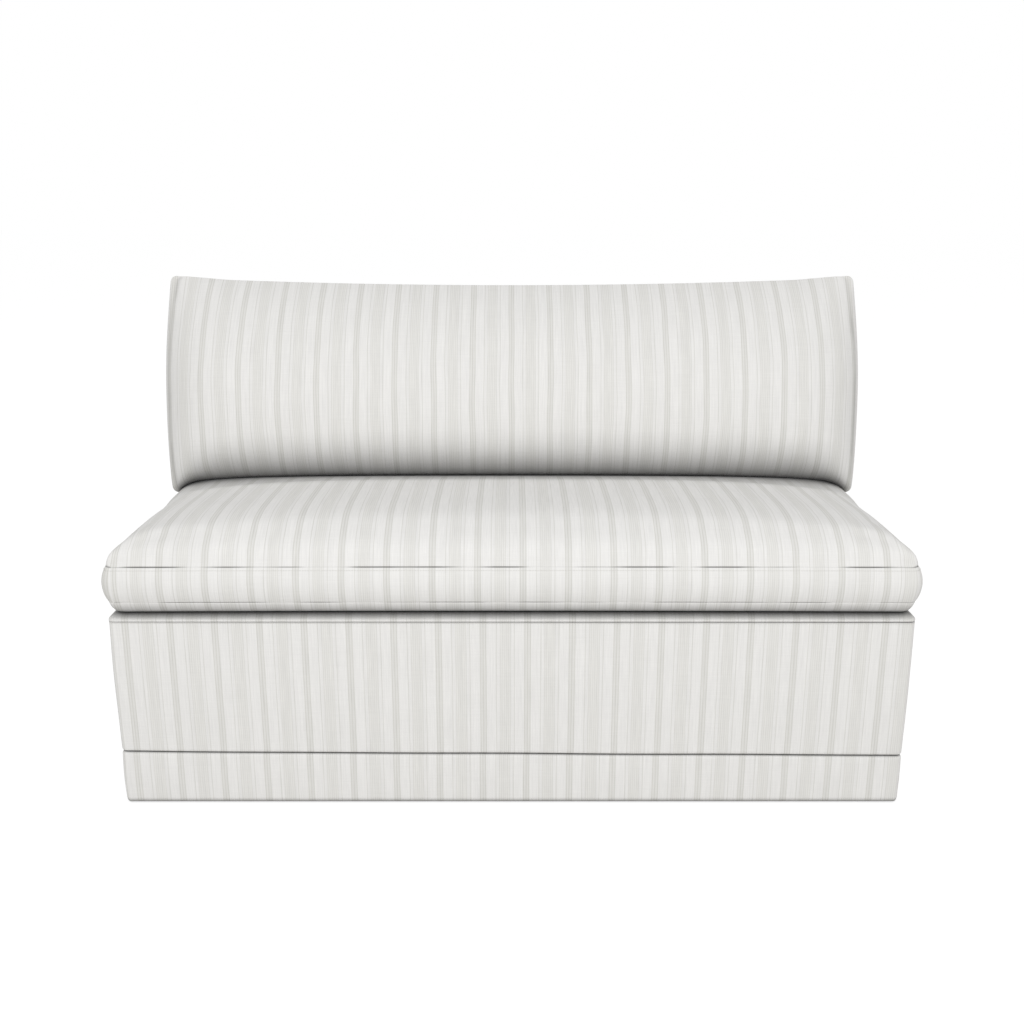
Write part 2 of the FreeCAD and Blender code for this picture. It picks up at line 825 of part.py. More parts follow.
# Back webbing: upright straps on the rails, level straps across the posts in front of them
upright_straps = []
level_straps = []
strap_outline = raked_layer("post_layer", "rail_layer", "lower_rail_foot", "top_rail_top")
bay_middle = "( inner_half + board_gauge / 2 ) / 2"
STRAPS_PER_BAY = 4
for sign in ("0 - ", ""):
    for k in range(STRAPS_PER_BAY):
        step = k - (STRAPS_PER_BAY - 1) / 2
        start = f"{sign}{bay_middle} + {step} * web_pitch - web_width / 2"
        upright_straps.append(
            prism(f"upright_strap_{len(upright_straps)}", "YZ_Plane", strap_outline, start, "web_width")
        )
LEVEL_STRAPS = 3
for k in range(LEVEL_STRAPS):
    low = f"( lower_rail_foot + {k + 1} * web_rise - web_width / 2 )"
    high = f"( lower_rail_foot + {k + 1} * web_rise + web_width / 2 )"
    outline = raked_layer("pad_layer", "post_layer", low, high)
    level_straps.append(prism(f"level_strap_{k}", "YZ_Plane", outline, "0 - frame_half", full))
keep(group("upright_straps", upright_straps), "upright_webbing")
keep(group("level_straps", level_straps), "level_webbing")

# Back pad: foam over the webbing and across the top rail
pad_outline = [
    (raked("cover_gauge", "foam_foot"), "foam_foot"),
    (raked("cover_gauge", "top_pad"), "top_pad"),
    (cloth_rear, "top_pad"),
    (cloth_rear, "top_rail_top"),
    (raked("pad_layer", "top_rail_top"), "top_rail_top"),
    (raked("pad_layer", "foam_foot"), "foam_foot"),
]
soft_edge = "back_edge - cover_gauge"
pad_top = lengthwise_at(raked("cover_gauge", "top_pad"), "top_pad")
pad = prism("back_foam", "YZ_Plane", pad_outline, "0 - frame_half", full)
round_edges(pad, "back_foam_edge", soft_edge, pad_top)
keep(pad, "back_pad")

# Outer board and wadding behind the posts
board_rise = "top_rail_top - outer_board_foot"
outer_board = box(
    "outer_board",
    "0 - frame_half",
    "frame_rear",
    "outer_board_foot",
    full,
    "outer_board_gauge",
    board_rise,
)
keep(outer_board, "back_outer_board")
board_rear = "frame_rear + outer_board_gauge"
outer_wad_outline = [
    ("frame_rear", "plinth_top"),
    ("frame_rear", "outer_board_foot"),
    (board_rear, "outer_board_foot"),
    (board_rear, "top_rail_top"),
    (cloth_rear, "top_rail_top"),
    (cloth_rear, "plinth_top"),
]
outer_wad = prism("outer_wad", "YZ_Plane", outer_wad_outline, "0 - cloth_half", "2 * cloth_half")
keep(outer_wad, "back_outer_wadding")

# Covers of the back: inside panel over the top, two side panels, one outside panel to the plinth
inside_outline = [
    (raked("0", "foam_foot"), "foam_foot"),
    (raked("0", "back_top"), "back_top"),
    ("rear_face", "back_top"),
    ("rear_face", "top_pad"),
    (raked("cover_gauge", "top_pad"), "top_pad"),
    (raked("cover_gauge", "foam_foot"), "foam_foot"),
]
outer_top = lengthwise_at(raked("0", "back_top"), "back_top")
inside_cover = prism("inside_cloth", "YZ_Plane", inside_outline, "0 - cloth_half", "2 * cloth_half")
round_edges(inside_cover, "inside_cloth_edge", "back_edge", outer_top)
round_edges(inside_cover, "inside_cloth_bend", soft_edge, pad_top)
keep(inside_cover, "back_inside_cover")
back_rise = "top_pad - plinth_top"
outside_cover = box(
    "outside_cloth", "0 - base_half", cloth_rear, "plinth_top", "2 * base_half", "cover_gauge", back_rise
)
keep(outside_cover, "back_outside_cover")
side_cloth_outline = [
    (raked("0", "base_top"), "base_top"),
    (raked("0", "back_top"), "back_top"),
    (cloth_rear, "back_top"),
    (cloth_rear, "base_top"),
]
side_wad_outline = [
    (raked("cover_gauge", "foam_foot"), "foam_foot"),
    (raked("cover_gauge", "top_pad"), "top_pad"),
    ("frame_rear", "top_pad"),
    ("frame_rear", "foam_foot"),
]
side_wads = []
for hand, cloth_x, wad_x in (
    ("left", "0 - base_half", "0 - cloth_half"), ("right", "cloth_half", "frame_half")
):
    side_cloth = prism(f"back_{hand}_cloth", "YZ_Plane", side_cloth_outline, cloth_x, "cover_gauge")
    round_edges(side_cloth, f"back_{hand}_cloth_edge", "back_edge", outer_top)
    keep(side_cloth, f"back_{hand}_cover")
    side_wad = prism(f"back_{hand}_wad", "YZ_Plane", side_wad_outline, wad_x, "wadding_gauge")
    round_edges(side_wad, f"back_{hand}_wad_edge", soft_edge, pad_top)
    side_wads.append(side_wad)
keep(group("back_side_wads", side_wads), "back_side_wadding")


# Cushion contours: closed wires of drawn-in sides and round corners, lofted into soft forms
def bowed(start, end, bow):
    """Side of a contour: an arc whose middle stands off the chord by bow, or a straight line."""
    if abs(bow) < value("tuck_gap") / 10:
        return Part.makeLine(start, end)
    along = end - start
    left = Vector(-along.y, along.x, 0)
    left.normalize()
    return Part.Arc(start, (start + end) * 0.5 + left * bow, end).toShape()


def corner_arc(start, end, centre):
    middle = (start + end) * 0.5 - centre
    middle.normalize()
    return Part.Arc(start, centre + middle * (start - centre).Length, end).toShape()


def contour(half, low, high, level, corner, low_bow, high_bow, swell, ear=0, drop=0):
    """One closed contour. The low side can end in two ears that hang below its middle."""
    corner = min(corner, 0.45 * (high - low), 0.45 * half)
    start = Vector(corner - half, low, level)
    end = Vector(half - corner, low, level)
    edges = []
    if ear:
        radius = ((ear - corner) ** 2 + drop**2) / (2 * drop)
        sweep = math.asin((ear - corner) / radius) / 2
        inner_left = Vector(ear - half, low + drop, level)
        inner_right = Vector(half - ear, low + drop, level)
        sag = Vector(radius * math.sin(sweep), radius * (1 - math.cos(sweep)), 0)
        edges.append(Part.Arc(start, inner_left - sag, inner_left).toShape())
        edges.append(bowed(inner_left, inner_right, low_bow))
        edges.append(Part.Arc(inner_right, inner_right + Vector(sag.x, -sag.y, 0), end).toShape())
    else:
        edges.append(bowed(start, end, low_bow))
    right_low = Vector(half, low + corner, level)
    right_high = Vector(half, high - corner, level)
    left_low = Vector(-half, low + corner, level)
    left_high = Vector(-half, high - corner, level)
    top_right = Vector(half - corner, high, level)
    top_left = Vector(corner - half, high, level)
    edges.append(corner_arc(end, right_low, Vector(half - corner, low + corner, level)))
    edges.append(bowed(right_low, right_high, -swell))
    edges.append(corner_arc(right_high, top_right, Vector(half - corner, high - corner, level)))
    edges.append(bowed(top_right, top_left, high_bow))
    edges.append(corner_arc(top_left, left_high, Vector(corner - half, high - corner, level)))
    edges.append(bowed(left_high, left_low, -swell))
    edges.append(corner_arc(left_low, start, Vector(corner - half, low + corner, level)))
    return Part.Wire(edges)


def loft(wires):
    return Part.makeLoft(wires, True, False)


# Seat cushion: rounded underside, bulging boxing between two seams, high crown
def seat_form(trim):
    """Outer form of the seat cushion, or the same form a number of mm further in."""
    half = value("seat_half - seat_bulge") - trim
    front = value("front_face - seat_overhang + seat_bulge") + trim
    rear = value("seat_rear - seat_bulge") - trim
    low_seam = value("seat_foot + seat_under_rise")
    high_seam = low_seam + value("seat_boxing_rise")
    corner = value("seat_corner")
    draw = value("seat_draw")

    def ring(side_inset, rear_inset, level, widen):
        radius = max(corner + side_inset * widen - trim, corner / 4)
        bow = draw * (1 - min(side_inset / value("seat_crown_run"), 1))
        return contour(
            half - side_inset, front + side_inset, rear - rear_inset, level, radius, bow, 0, -bow
        )

    under = []
    for turn in (90, 60, 30, 0):
        inset = value("seat_under_run") * (1 - math.cos(math.radians(turn)))
        drop = (value("seat_under_rise") - trim) * math.sin(math.radians(turn))
        under.append(ring(inset, inset, low_seam - drop, 0))
    boxing = []
    for step in (-1, -0.5, 0, 0.5, 1):
        swell = -value("seat_bulge") * (1 - step * step)
        boxing.append(
            ring(swell, swell, (low_seam + high_seam) / 2 + step * (high_seam - low_seam) / 2, 0)
        )
    crown = []
    for turn in (0, 18, 36, 54, 72, 90):
        share = 1 - math.cos(math.radians(turn))
        rise = (value("seat_crown_rise") - trim) * math.sin(math.radians(turn))
        crown.append(
            ring(
                value("seat_crown_run") * share,
                value("seat_rear_run") * share,
                high_seam + rise,
                value("seat_corner_widen"),
            )
        )
    return loft(under).multiFuse([loft(boxing), loft(crown)])


zip_recess = Part.makeBox(
    value("zip_length"),
    value("seat_overhang"),
    value("zip_tape_width"),
    Vector(
        value("0 - zip_length / 2"),
        value("seat_rear - zip_tape_gauge"),
        value("seat_zip_height - zip_tape_width / 2"),
    ),
)
seat_inside = seat_form(value("cover_gauge"))
core_inset = "seat_bulge + cover_gauge + seat_wrap_gauge"
core_front = f"front_face - seat_overhang + {core_inset}"
seat_core = box(
    "seat_foam",
    f"0 - ( seat_half - ( {core_inset} ) )",
    core_front,
    "seat_foot + cover_gauge + seat_wrap_gauge",
    f"2 * ( seat_half - ( {core_inset} ) )",
    f"seat_rear - ( {core_inset} ) - ( {core_front} )",
    "seat_core_rise",
)
doc.recompute()
keep(feature("seat_cloth", seat_form(0).cut(seat_inside).cut(zip_recess)), "seat_cushion_cover")
keep(feature("seat_wrap", seat_inside.cut(seat_core.Shape)), "seat_cushion_wrap")
keep(seat_core, "seat_cushion_core")


# Back cushion: a knife-edged pillow whose corners stand out as ears, full and low at the front
def pillow_form(trim):
    """Outer form of the back cushion in its own plane: X across, Y up its lean, Z to the front."""
    half = value("pillow_half") - trim
    low = value("pillow_arch - pillow_rise") + trim
    high = -trim
    floor = value("pillow_ear_floor")

    def ring(turn, depth, runs):
        share = 1 - math.cos(math.radians(turn))
        rise = math.sin(math.radians(turn))
        top = runs[0] * (1 - math.sqrt(max(1 - rise, 0)))
        side = runs[2] * share
        fade = max(1 - rise, 0) ** value("pillow_ear_fade")
        full = value("pillow_fullness")
        bottom = runs[1] * (1 - max(1 - rise**full, 0) ** (1 / full))
        drop = floor + (value("pillow_arch") - floor) * fade
        return contour(
            half - side,
            low + bottom - drop,
            high - top,
            depth * rise,
            value("pillow_corner") + side / 2 - trim / 2,
            0,
            value("pillow_dip") * (1 - rise / 2),
            value("pillow_swell") * (1 - rise / 2),
            value("pillow_ear") + value("pillow_ear_spread") * side,
            drop,
        )

    turns = (0, 15, 30, 45, 60, 75, 90)
    front_runs = (value("pillow_top_run"), value("pillow_bottom_run"), value("pillow_side_run"))
    rear_runs = (value("pillow_rear_run"), value("pillow_rear_run"), value("pillow_rear_run"))
    front = loft([ring(turn, value("pillow_front") - trim, front_runs) for turn in turns])
    rear = loft([ring(turn, trim - value("pillow_rear"), rear_runs) for turn in turns])
    return front.fuse(rear)


pillow_origin = Vector(0, value(raked("0 - pillow_layer", "pillow_ear_top")), value("pillow_ear_top"))
pillow_place = Placement(pillow_origin, Rotation(Vector(1, 0, 0), 90 - value("back_rake")))
pillow_inside = pillow_form(value("cover_gauge"))
keep(feature("pillow_cloth", pillow_form(0).cut(pillow_inside), pillow_place), "back_cushion_cover")
keep(feature("pillow_fill", pillow_inside, pillow_place), "back_cushion_fill")


# Zips: tape and chain as one strip, a slider that rides on the chain, a pull along the strip
def zip_pieces(name):
    tape = box(
        f"{name}_tape",
        "0 - zip_length / 2",
        "0 - zip_tape_width / 2",
        "0 - zip_tape_gauge",
        "zip_length",
        "zip_tape_width",
        "zip_tape_gauge",
    )
    chain = box(
        f"{name}_chain",
        "zip_end - zip_length / 2",
        "0 - zip_chain_width / 2",
        "0",
        "zip_length - 2 * zip_end",
        "zip_chain_width",
        "zip_chain_gauge",
    )
    strip = fuse(f"{name}_strip", [tape, chain])
    start = "zip_length / 2 - zip_end - slider_length"
    top = "zip_chain_gauge + zip_clearance"
    block = box(
        f"{name}_block",
        start,
        "0 - slider_width / 2",
        "zip_clearance",
        "slider_length",
        "slider_width",
        "zip_chain_gauge + slider_gauge",
    )
    slot_width = "zip_chain_width + 2 * zip_clearance"
    slot = box(
        f"{name}_slot",
        start,
        "0 - zip_chain_width / 2 - zip_clearance",
        "0",
        "slider_length",
        slot_width,
        top,
    )
    shoe = cut(f"{name}_shoe", block, slot)
    pull_foot = "zip_clearance + zip_chain_gauge + slider_gauge"
    pull_start = "zip_length / 2 - zip_end - pull_length"
    pull = box(
        f"{name}_pull",
        pull_start,
        "0 - pull_width / 2",
        pull_foot,
        "pull_length",
        "pull_width",
        "pull_gauge",
    )
    return strip, fuse(f"{name}_slider_body", [shoe, pull])


def turn_about_x(piece, angle, x, y, z):
    piece.Placement = Placement(Vector(), Rotation(Vector(1, 0, 0), value(angle)))
    piece.setExpression("Placement.Rotation.Angle", rows(angle))
    place(piece, x, y, z)


seat_strip, seat_slider = zip_pieces("seat_zip")
for piece, label in ((seat_strip, "seat_zip"), (seat_slider, "seat_zip_slider")):
    turn_about_x(piece, "0 - 90", "0", "seat_rear", "seat_zip_height")
    keep(piece, label)
pillow_strip, pillow_slider = zip_pieces("pillow_zip")
zip_height = "( pillow_ear_top - zip_place / lean_scale )"
for piece, label in ((pillow_strip, "back_zip"), (pillow_slider, "back_zip_slider")):
    turn_about_x(
        piece, "0 - 90 - back_rake", "0", raked("zip_tape_gauge - pillow_gap", zip_height), zip_height
    )
    keep(piece, label)

doc.recompute()
faults = [piece.Name for piece in doc.Objects if {"Invalid", "Error"} & set(piece.State)]
for piece in nodes:
    if piece.Shape.isNull() or not piece.Shape.isValid() or not piece.Shape.Solids:
        faults.append(piece.Label)
if faults:
    raise RuntimeError("not built: " + ", ".join(faults))
os.makedirs("parts", exist_ok=True)
for piece in nodes:
    piece.Shape.exportStep(f"parts/{piece.Label}.step")
    print(piece.Label, len(piece.Shape.Solids), round(piece.Shape.Volume))
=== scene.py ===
import math

import bmesh
import bpy
import numpy as np
from mathutils import Matrix, Vector
from mathutils.bvhtree import BVHTree


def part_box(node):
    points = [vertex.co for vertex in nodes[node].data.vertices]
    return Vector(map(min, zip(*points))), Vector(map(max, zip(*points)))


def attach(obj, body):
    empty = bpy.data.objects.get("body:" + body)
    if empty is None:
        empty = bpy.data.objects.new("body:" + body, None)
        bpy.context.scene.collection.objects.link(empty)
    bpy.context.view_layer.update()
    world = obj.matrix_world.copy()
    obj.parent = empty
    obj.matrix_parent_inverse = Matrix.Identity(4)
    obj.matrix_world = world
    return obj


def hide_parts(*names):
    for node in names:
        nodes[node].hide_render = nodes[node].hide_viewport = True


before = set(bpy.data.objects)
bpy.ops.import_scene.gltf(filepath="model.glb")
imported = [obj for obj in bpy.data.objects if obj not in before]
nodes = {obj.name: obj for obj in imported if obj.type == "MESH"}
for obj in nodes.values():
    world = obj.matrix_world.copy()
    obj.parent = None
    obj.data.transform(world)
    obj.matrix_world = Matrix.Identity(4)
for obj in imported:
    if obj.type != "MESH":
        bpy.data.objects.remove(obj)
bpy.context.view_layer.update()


# ---------------------------------------------------------------- timber frame
# Planed pine boards 22 mm thick, doweled and screwed into a plinth, a base box and three
# raked back posts. The covers hide all of it, so the solids stay and get their grain.
def linear(code):
    """An sRGB hex colour as linear RGBA."""
    parts = [int(code[k : k + 2], 16) / 255 for k in (1, 3, 5)]
    return [p / 12.92 if p <= 0.04045 else ((p + 0.055) / 1.055) ** 2.4 for p in parts] + [1]


def add(tree, kind, inputs=None, stops=None, **settings):
    """One node; each input is a plain value or another node's output socket, stops are (place, hex colour)."""
    node = tree.nodes.new(kind)
    for name, setting in settings.items():
        setattr(node, name, setting)
    for k, (place, code) in enumerate(stops or []):
        elements = node.color_ramp.elements
        element = elements[k] if k < 2 else elements.new(place)
        element.position, element.color = place, linear(code)
    for name, source in (inputs or {}).items():
        if isinstance(source, bpy.types.NodeSocket):
            tree.links.new(source, node.inputs[name])
        else:
            node.inputs[name].default_value = source
    return node


def finish_named(name, **constants):
    """A new material with its Principled shader; constants sit on the shader's own sockets."""
    material = bpy.data.materials.new(name)
    material.use_nodes = True
    shader = material.node_tree.nodes["Principled BSDF"]
    for socket, constant in constants.items():
        shader.inputs[socket.replace("_", " ")].default_value = constant
    return material, material.node_tree, shader


def dress(material, *names):
    """Gives CAD nodes that stay their finish."""
    for name in names:
        mesh = nodes[name].data
        mesh.materials.clear()
        mesh.materials.append(material)


def planed_pine(name, grain_axis):
    """Planed pine: straight grain about 4 mm wide, drawn out twentyfold along the board."""
    material, tree, shader = finish_named(name, Roughness=0.62, IOR=1.5)
    scale = [250.0, 250.0, 250.0]
    scale[grain_axis] = 12.0
    place = add(tree, "ShaderNodeTexCoord")
    drawn = add(tree, "ShaderNodeMapping", {0: place.outputs["Object"], "Scale": scale})
    grain = add(tree, "ShaderNodeTexNoise", {"Vector": drawn.outputs[0], "Scale": 1.0, "Detail": 4.0})
    yearly = [(0.3, "#b98a58"), (0.5, "#d3aa76"), (0.7, "#e0c294")]
    tone = add(tree, "ShaderNodeValToRGB", {0: grain.outputs[0]}, stops=yearly)
    tree.links.new(tone.outputs[0], shader.inputs["Base Color"])
    fibre = add(tree, "ShaderNodeBump", {"Height": grain.outputs[0], "Strength": 0.2, "Distance": 0.0005})
    tree.links.new(fibre.outputs[0], shader.inputs["Normal"])
    return material


pine_across = planed_pine("planed_pine_across", 0)
pine_deep = planed_pine("planed_pine_deep", 1)
pine_upright = planed_pine("planed_pine_upright", 2)
dress(pine_across, "plinth_front_board", "plinth_rear_board", "base_front_rail", "base_rear_rail")
dress(pine_across, "spring_rail", "back_top_rail", "lower_back_rails")
dress(pine_deep, "plinth_left_board", "plinth_right_board", "plinth_centre_board")
dress(pine_deep, "base_left_rail", "base_right_rail", "cross_rails")
dress(pine_upright, "back_post_left", "back_post_centre", "back_post_right")
dress(pine_upright, "plinth_block_set", "base_block_set")


# ------------------------------------------------------------ dowels and fixings
# Fluted beech dowels, zinc-plated joining plates with their screws, and long lag screws
# that hold the base to the plinth. All of them sit inside the timber.
def patterned(name, kind, pattern, stops, relief=None, **constants):
    """A finish coloured by one texture, its Scale in cells per metre; relief is its strength and depth."""
    material, tree, shader = finish_named(name, **constants)
    place = add(tree, "ShaderNodeTexCoord")
    texture = add(tree, kind, {"Vector": place.outputs["Object"], **pattern}).outputs[0]
    tone = add(tree, "ShaderNodeValToRGB", {0: texture}, stops=stops)
    tree.links.new(tone.outputs[0], shader.inputs["Base Color"])
    if relief:
        bump = add(tree, "ShaderNodeBump", {"Height": texture, "Strength": relief[0], "Distance": relief[1]})
        tree.links.new(bump.outputs[0], shader.inputs["Normal"])
    return material


beech = patterned(
    "turned_beech", "ShaderNodeTexNoise", {"Scale": 420.0, "Detail": 3.0},
    [(0.35, "#b98b5f"), (0.65, "#d6b083")], Roughness=0.55, IOR=1.5,
)
dress(beech, "frame_dowels")


def drawn_metal(name, dark, light, roughness, grit):
    """Plated or drawn steel: a faint mottle of the plating, grit in cells per metre."""
    material, tree, shader = finish_named(name, Metallic=1.0)
    place = add(tree, "ShaderNodeTexCoord")
    mottle = add(tree, "ShaderNodeTexNoise", {"Vector": place.outputs["Object"], "Scale": grit, "Detail": 3.0})
    tone = add(tree, "ShaderNodeValToRGB", {0: mottle.outputs[0]}, stops=[(0.3, dark), (0.7, light)])
    tree.links.new(tone.outputs[0], shader.inputs["Base Color"])
    rough = add(tree, "ShaderNodeMapRange", {0: mottle.outputs[0], 3: roughness - 0.06, 4: roughness + 0.06})
    tree.links.new(rough.outputs[0], shader.inputs["Roughness"])
    return material


zinc = drawn_metal("zinc_plated_steel", "#b4b6bb", "#d2d4d6", 0.34, 300.0)
dress(zinc, "lag_screws", "plate_screws", "joining_plates")


# ------------------------------------------------------------------ floor glides
# Six black nylon glides with a domed foot, each nailed up into the plinth boards, which
# stand 5 mm clear of the floor; the edge of the plinth's cover hangs just above it.
nylon = patterned(
    "moulded_nylon", "ShaderNodeTexNoise", {"Scale": 900.0, "Detail": 2.0},
    [(0.3, "#17181a"), (0.7, "#26272a")], relief=(0.25, 0.0003), Roughness=0.48, IOR=1.53,
)
dress(nylon, "floor_glides")


# ----------------------------------------------------------------- seat springs
# Eight sinuous springs of 4 mm wire, run front to back in steel clips and tied across by
# two lighter wires. They lie under the felt of the deck.
spring_wire = drawn_metal("oiled_spring_wire", "#5b5d61", "#7d7f83", 0.42, 700.0)
dress(spring_wire, "seat_springs", "spring_clips", "tie_wires")


# ------------------------------------------------------------------ back webbing
# Brown jute webbing 50 mm wide, upright and level straps interlaced in front of the posts,
# with a board of brown hardboard behind them. Hidden inside the back.
jute = patterned(
    "jute_webbing", "ShaderNodeTexWave", {"Scale": 160.0, "Distortion": 1.5},
    [(0.2, "#6a5238"), (0.8, "#a58a64")], relief=(0.5, 0.0006), Roughness=0.92,
)
dress(jute, "upright_webbing", "level_webbing")
hardboard = patterned(
    "pressed_hardboard", "ShaderNodeTexNoise", {"Scale": 500.0, "Detail": 5.0},
    [(0.3, "#6d5138"), (0.7, "#96765a")], Roughness=0.7,
)
dress(hardboard, "back_outer_board")


# -------------------------------------------------------------------- plinth covers
# Striped linen over thin wadding, wrapped round the front and rear corners of the plinth
# and seamed to the two side panels. Its edges roll in at the floor and under the base box.
STRIPE_REPEAT = 0.0765
HALF_STRIPE = [
    (0.0, "#d6d5d0"), (0.6, "#d6d5d0"), (1.3, "#e0dfdc"), (3.7, "#e0dfdc"), (4.3, "#d6d5d0"), (5.2, "#d6d5d0"),
    (6.1, "#e9e8e6"), (21.8, "#e9e8e6"), (22.4, "#dbdad6"), (23.2, "#dbdad6"), (23.9, "#e8e7e5"), (28.4, "#e7e6e4"),
    (29.0, "#dddcd8"), (29.8, "#dddcd8"), (30.5, "#e4e3e0"), (32.0, "#e4e3e0"), (32.6, "#dddcd8"), (33.3, "#dddcd8"),
    (34.0, "#e4e3e0"), (35.5, "#e4e3e0"), (36.1, "#dddcd8"), (36.8, "#dddcd8"), (37.4, "#e3e2df"), (38.25, "#e3e2df"),
]


def linen_finish(name, shade_reach, shade_depth):
    """Slubby linen ticking: matt yarn with a little fuzz, stripes woven in the warp, given here in
    millimetres from the middle of a dark stripe to the middle of the pale one beside it.
    The yarns are about 0.5 mm; they are drawn 2 mm wide so that they show. Painted shade darkens the colour by
    ambient occlusion in folds, creases and where parts meet, reaching shade_reach metres and deepened by the power
    shade_depth, and along sewn lines by the seam_shade attribute."""
    material, tree, shader = finish_named(name, Roughness=0.88, IOR=1.46, Sheen_Weight=0.12, Sheen_Roughness=0.45)
    shader.inputs["Specular IOR Level"].default_value = 0.25
    cloth = add(tree, "ShaderNodeUVMap", uv_map="cloth")
    yarn = add(tree, "ShaderNodeSeparateXYZ", {0: cloth.outputs[0]})
    across, along = yarn.outputs[0], yarn.outputs[1]
    fold = add(tree, "ShaderNodeMath", {0: across, 1: STRIPE_REPEAT / 2}, operation="PINGPONG")
    share = add(tree, "ShaderNodeMath", {0: fold.outputs[0], 1: 2 / STRIPE_REPEAT}, operation="MULTIPLY")
    places = [(2 * place / 1000 / STRIPE_REPEAT, code) for place, code in HALF_STRIPE]
    stripes = add(tree, "ShaderNodeValToRGB", {0: share.outputs[0]}, stops=[places[0], places[-1]] + places[1:-1])

    def streaks(across_size, along_size, seed):
        """Noise drawn out along one yarn direction; sizes in metres."""
        place = add(tree, "ShaderNodeCombineXYZ", {2: seed})
        for k, source, size in ((0, across, across_size), (1, along, along_size)):
            scaled = add(tree, "ShaderNodeMath", {0: source, 1: 1 / size}, operation="MULTIPLY")
            tree.links.new(scaled.outputs[0], place.inputs[k])
        return add(tree, "ShaderNodeTexNoise", {"Vector": place.outputs[0], "Scale": 1.0, "Detail": 2.0}).outputs[0]

    warp = streaks(0.0021, 0.060, 3.0)
    bands = streaks(0.009, 0.35, 8.0)
    weft = streaks(0.060, 0.0016, 17.0)
    tone = stripes.outputs[0]
    for source, low, high in ((warp, 0.935, 1.035), (bands, 0.98, 1.015), (weft, 0.98, 1.02)):
        shade = add(tree, "ShaderNodeMapRange", {0: source, 1: 0.25, 2: 0.75, 3: low, 4: high})
        tone = add(tree, "ShaderNodeVectorMath", {0: tone, 1: shade.outputs[0]}, operation="MULTIPLY").outputs[0]
    # Painted shade: ambient occlusion darkens the colour in folds, creases and where parts meet, and the seam_shade
    # attribute darkens it along seams and round the seat cushion's underside.
    occlusion = add(tree, "ShaderNodeAmbientOcclusion", {"Distance": shade_reach}, samples=8)
    painted_shade = add(tree, "ShaderNodeMath", {0: occlusion.outputs["AO"], 1: shade_depth}, operation="POWER")
    seam = add(tree, "ShaderNodeAttribute", attribute_name="seam_shade")
    painted_seam_shade = add(tree, "ShaderNodeMapRange", {0: seam.outputs["Fac"], 3: 1.0, 4: 0.12})
    for source in (painted_shade, painted_seam_shade):
        tone = add(tree, "ShaderNodeVectorMath", {0: tone, 1: source.outputs[0]}, operation="MULTIPLY").outputs[0]
    tree.links.new(tone, shader.inputs["Base Color"])
    weave = add(tree, "ShaderNodeMath", {0: warp, 1: weft}, operation="ADD")
    relief = add(tree, "ShaderNodeBump", {"Height": weave.outputs[0], "Strength": 0.22, "Distance": 0.0006})
    tree.links.new(relief.outputs[0], shader.inputs["Normal"])
    return material


# Three copies of the linen that differ only in painted shade by ambient occlusion: 100 mm reach at depth 0.5 for the
# cushions and back, 12 mm at depth 1.2 for the plinth and base box, and 100 mm at depth 2.2 for the deck under the
# seat cushion's overhang.
linen = linen_finish("striped_linen", 0.100, 0.5)
short_shade_linen = linen_finish("striped_linen_short_shade", 0.012, 1.2)
deep_shade_linen = linen_finish("striped_linen_deep_shade", 0.100, 2.2)


def spaced(length, fine, step):
    """Distances along a panel: close together at both seams, even in between."""
    fine = np.asarray(fine, float)
    count = max(2, round((length - 2 * fine[-1]) / step) + 1)
    return np.concatenate([fine[:-1], np.linspace(fine[-1], length - fine[-1], count), (length - fine[:-1])[::-1]])


def roll(distance, radius, depth):
    """How far a padded edge has rolled in at a distance from its seam."""
    share = np.clip(1 - np.asarray(distance) / radius, 0, 1)
    return depth * (1 - np.sqrt(1 - share**2))


def waver(first, second, size):
    """Slow unevenness of hand-stretched cloth, about -1 to 1, from three crossing waves."""
    a, b = np.asarray(first) / size, np.asarray(second) / size
    return (np.sin(1.7 * a + 0.9 * b + 1.3) + np.sin(2.9 * a - 2.3 * b + 4.1) + np.sin(0.8 * a + 3.1 * b + 2.2)) / 3


def mesh_piece(name, points, faces, cloth, material):
    """A closed mesh with its cloth UVs, which come one per vertex or one per face corner."""
    mesh = bpy.data.meshes.new(name)
    mesh.from_pydata(np.asarray(points).tolist(), [], faces)
    layer = mesh.uv_layers.new(name="cloth")
    corners = np.zeros(len(mesh.loops), int)
    mesh.loops.foreach_get("vertex_index", corners)
    flat = np.asarray(cloth, float)
    layer.data.foreach_set("uv", flat[corners].ravel() if len(flat) == len(points) else flat.ravel())
    mesh.materials.append(material)
    shell = bmesh.new()
    shell.from_mesh(mesh)
    bmesh.ops.recalc_face_normals(shell, faces=shell.faces)
    shell.to_mesh(mesh)
    shell.free()
    mesh.shade_smooth()
    piece = bpy.data.objects.new(name, mesh)
    bpy.context.scene.collection.objects.link(piece)
    return piece


def grid_faces(rows, cols, start=0):
    return [
        (start + r * cols + c, start + r * cols + c + 1, start + (r + 1) * cols + c + 1, start + (r + 1) * cols + c)
        for r in range(rows - 1)
        for c in range(cols - 1)
    ]


def edge_loop(rows, cols):
    """Indices of a grid's border, once round."""
    low = list(range(cols))
    right = [r * cols + cols - 1 for r in range(1, rows)]
    high = [(rows - 1) * cols + c for c in range(cols - 2, -1, -1)]
    left = [r * cols for r in range(rows - 2, 0, -1)]
    return low + right + high + left


def padded_panel(name, skin, inside, across, along, material=linen):
    """Cloth skin over wadding, closed by a flat inner face; both are rows x cols x 3."""
    rows, cols = skin.shape[:2]
    count = rows * cols
    points = np.concatenate([skin.reshape(-1, 3), inside.reshape(-1, 3)])
    faces = grid_faces(rows, cols) + [f[::-1] for f in grid_faces(rows, cols, count)]
    border = edge_loop(rows, cols)
    for a, b in zip(border, border[1:] + border[:1]):
        faces.append((b, a, a + count, b + count))
    cloth = np.stack([across.ravel(), along.ravel()], 1)
    return mesh_piece(name, points, faces, np.concatenate([cloth, cloth]), material)


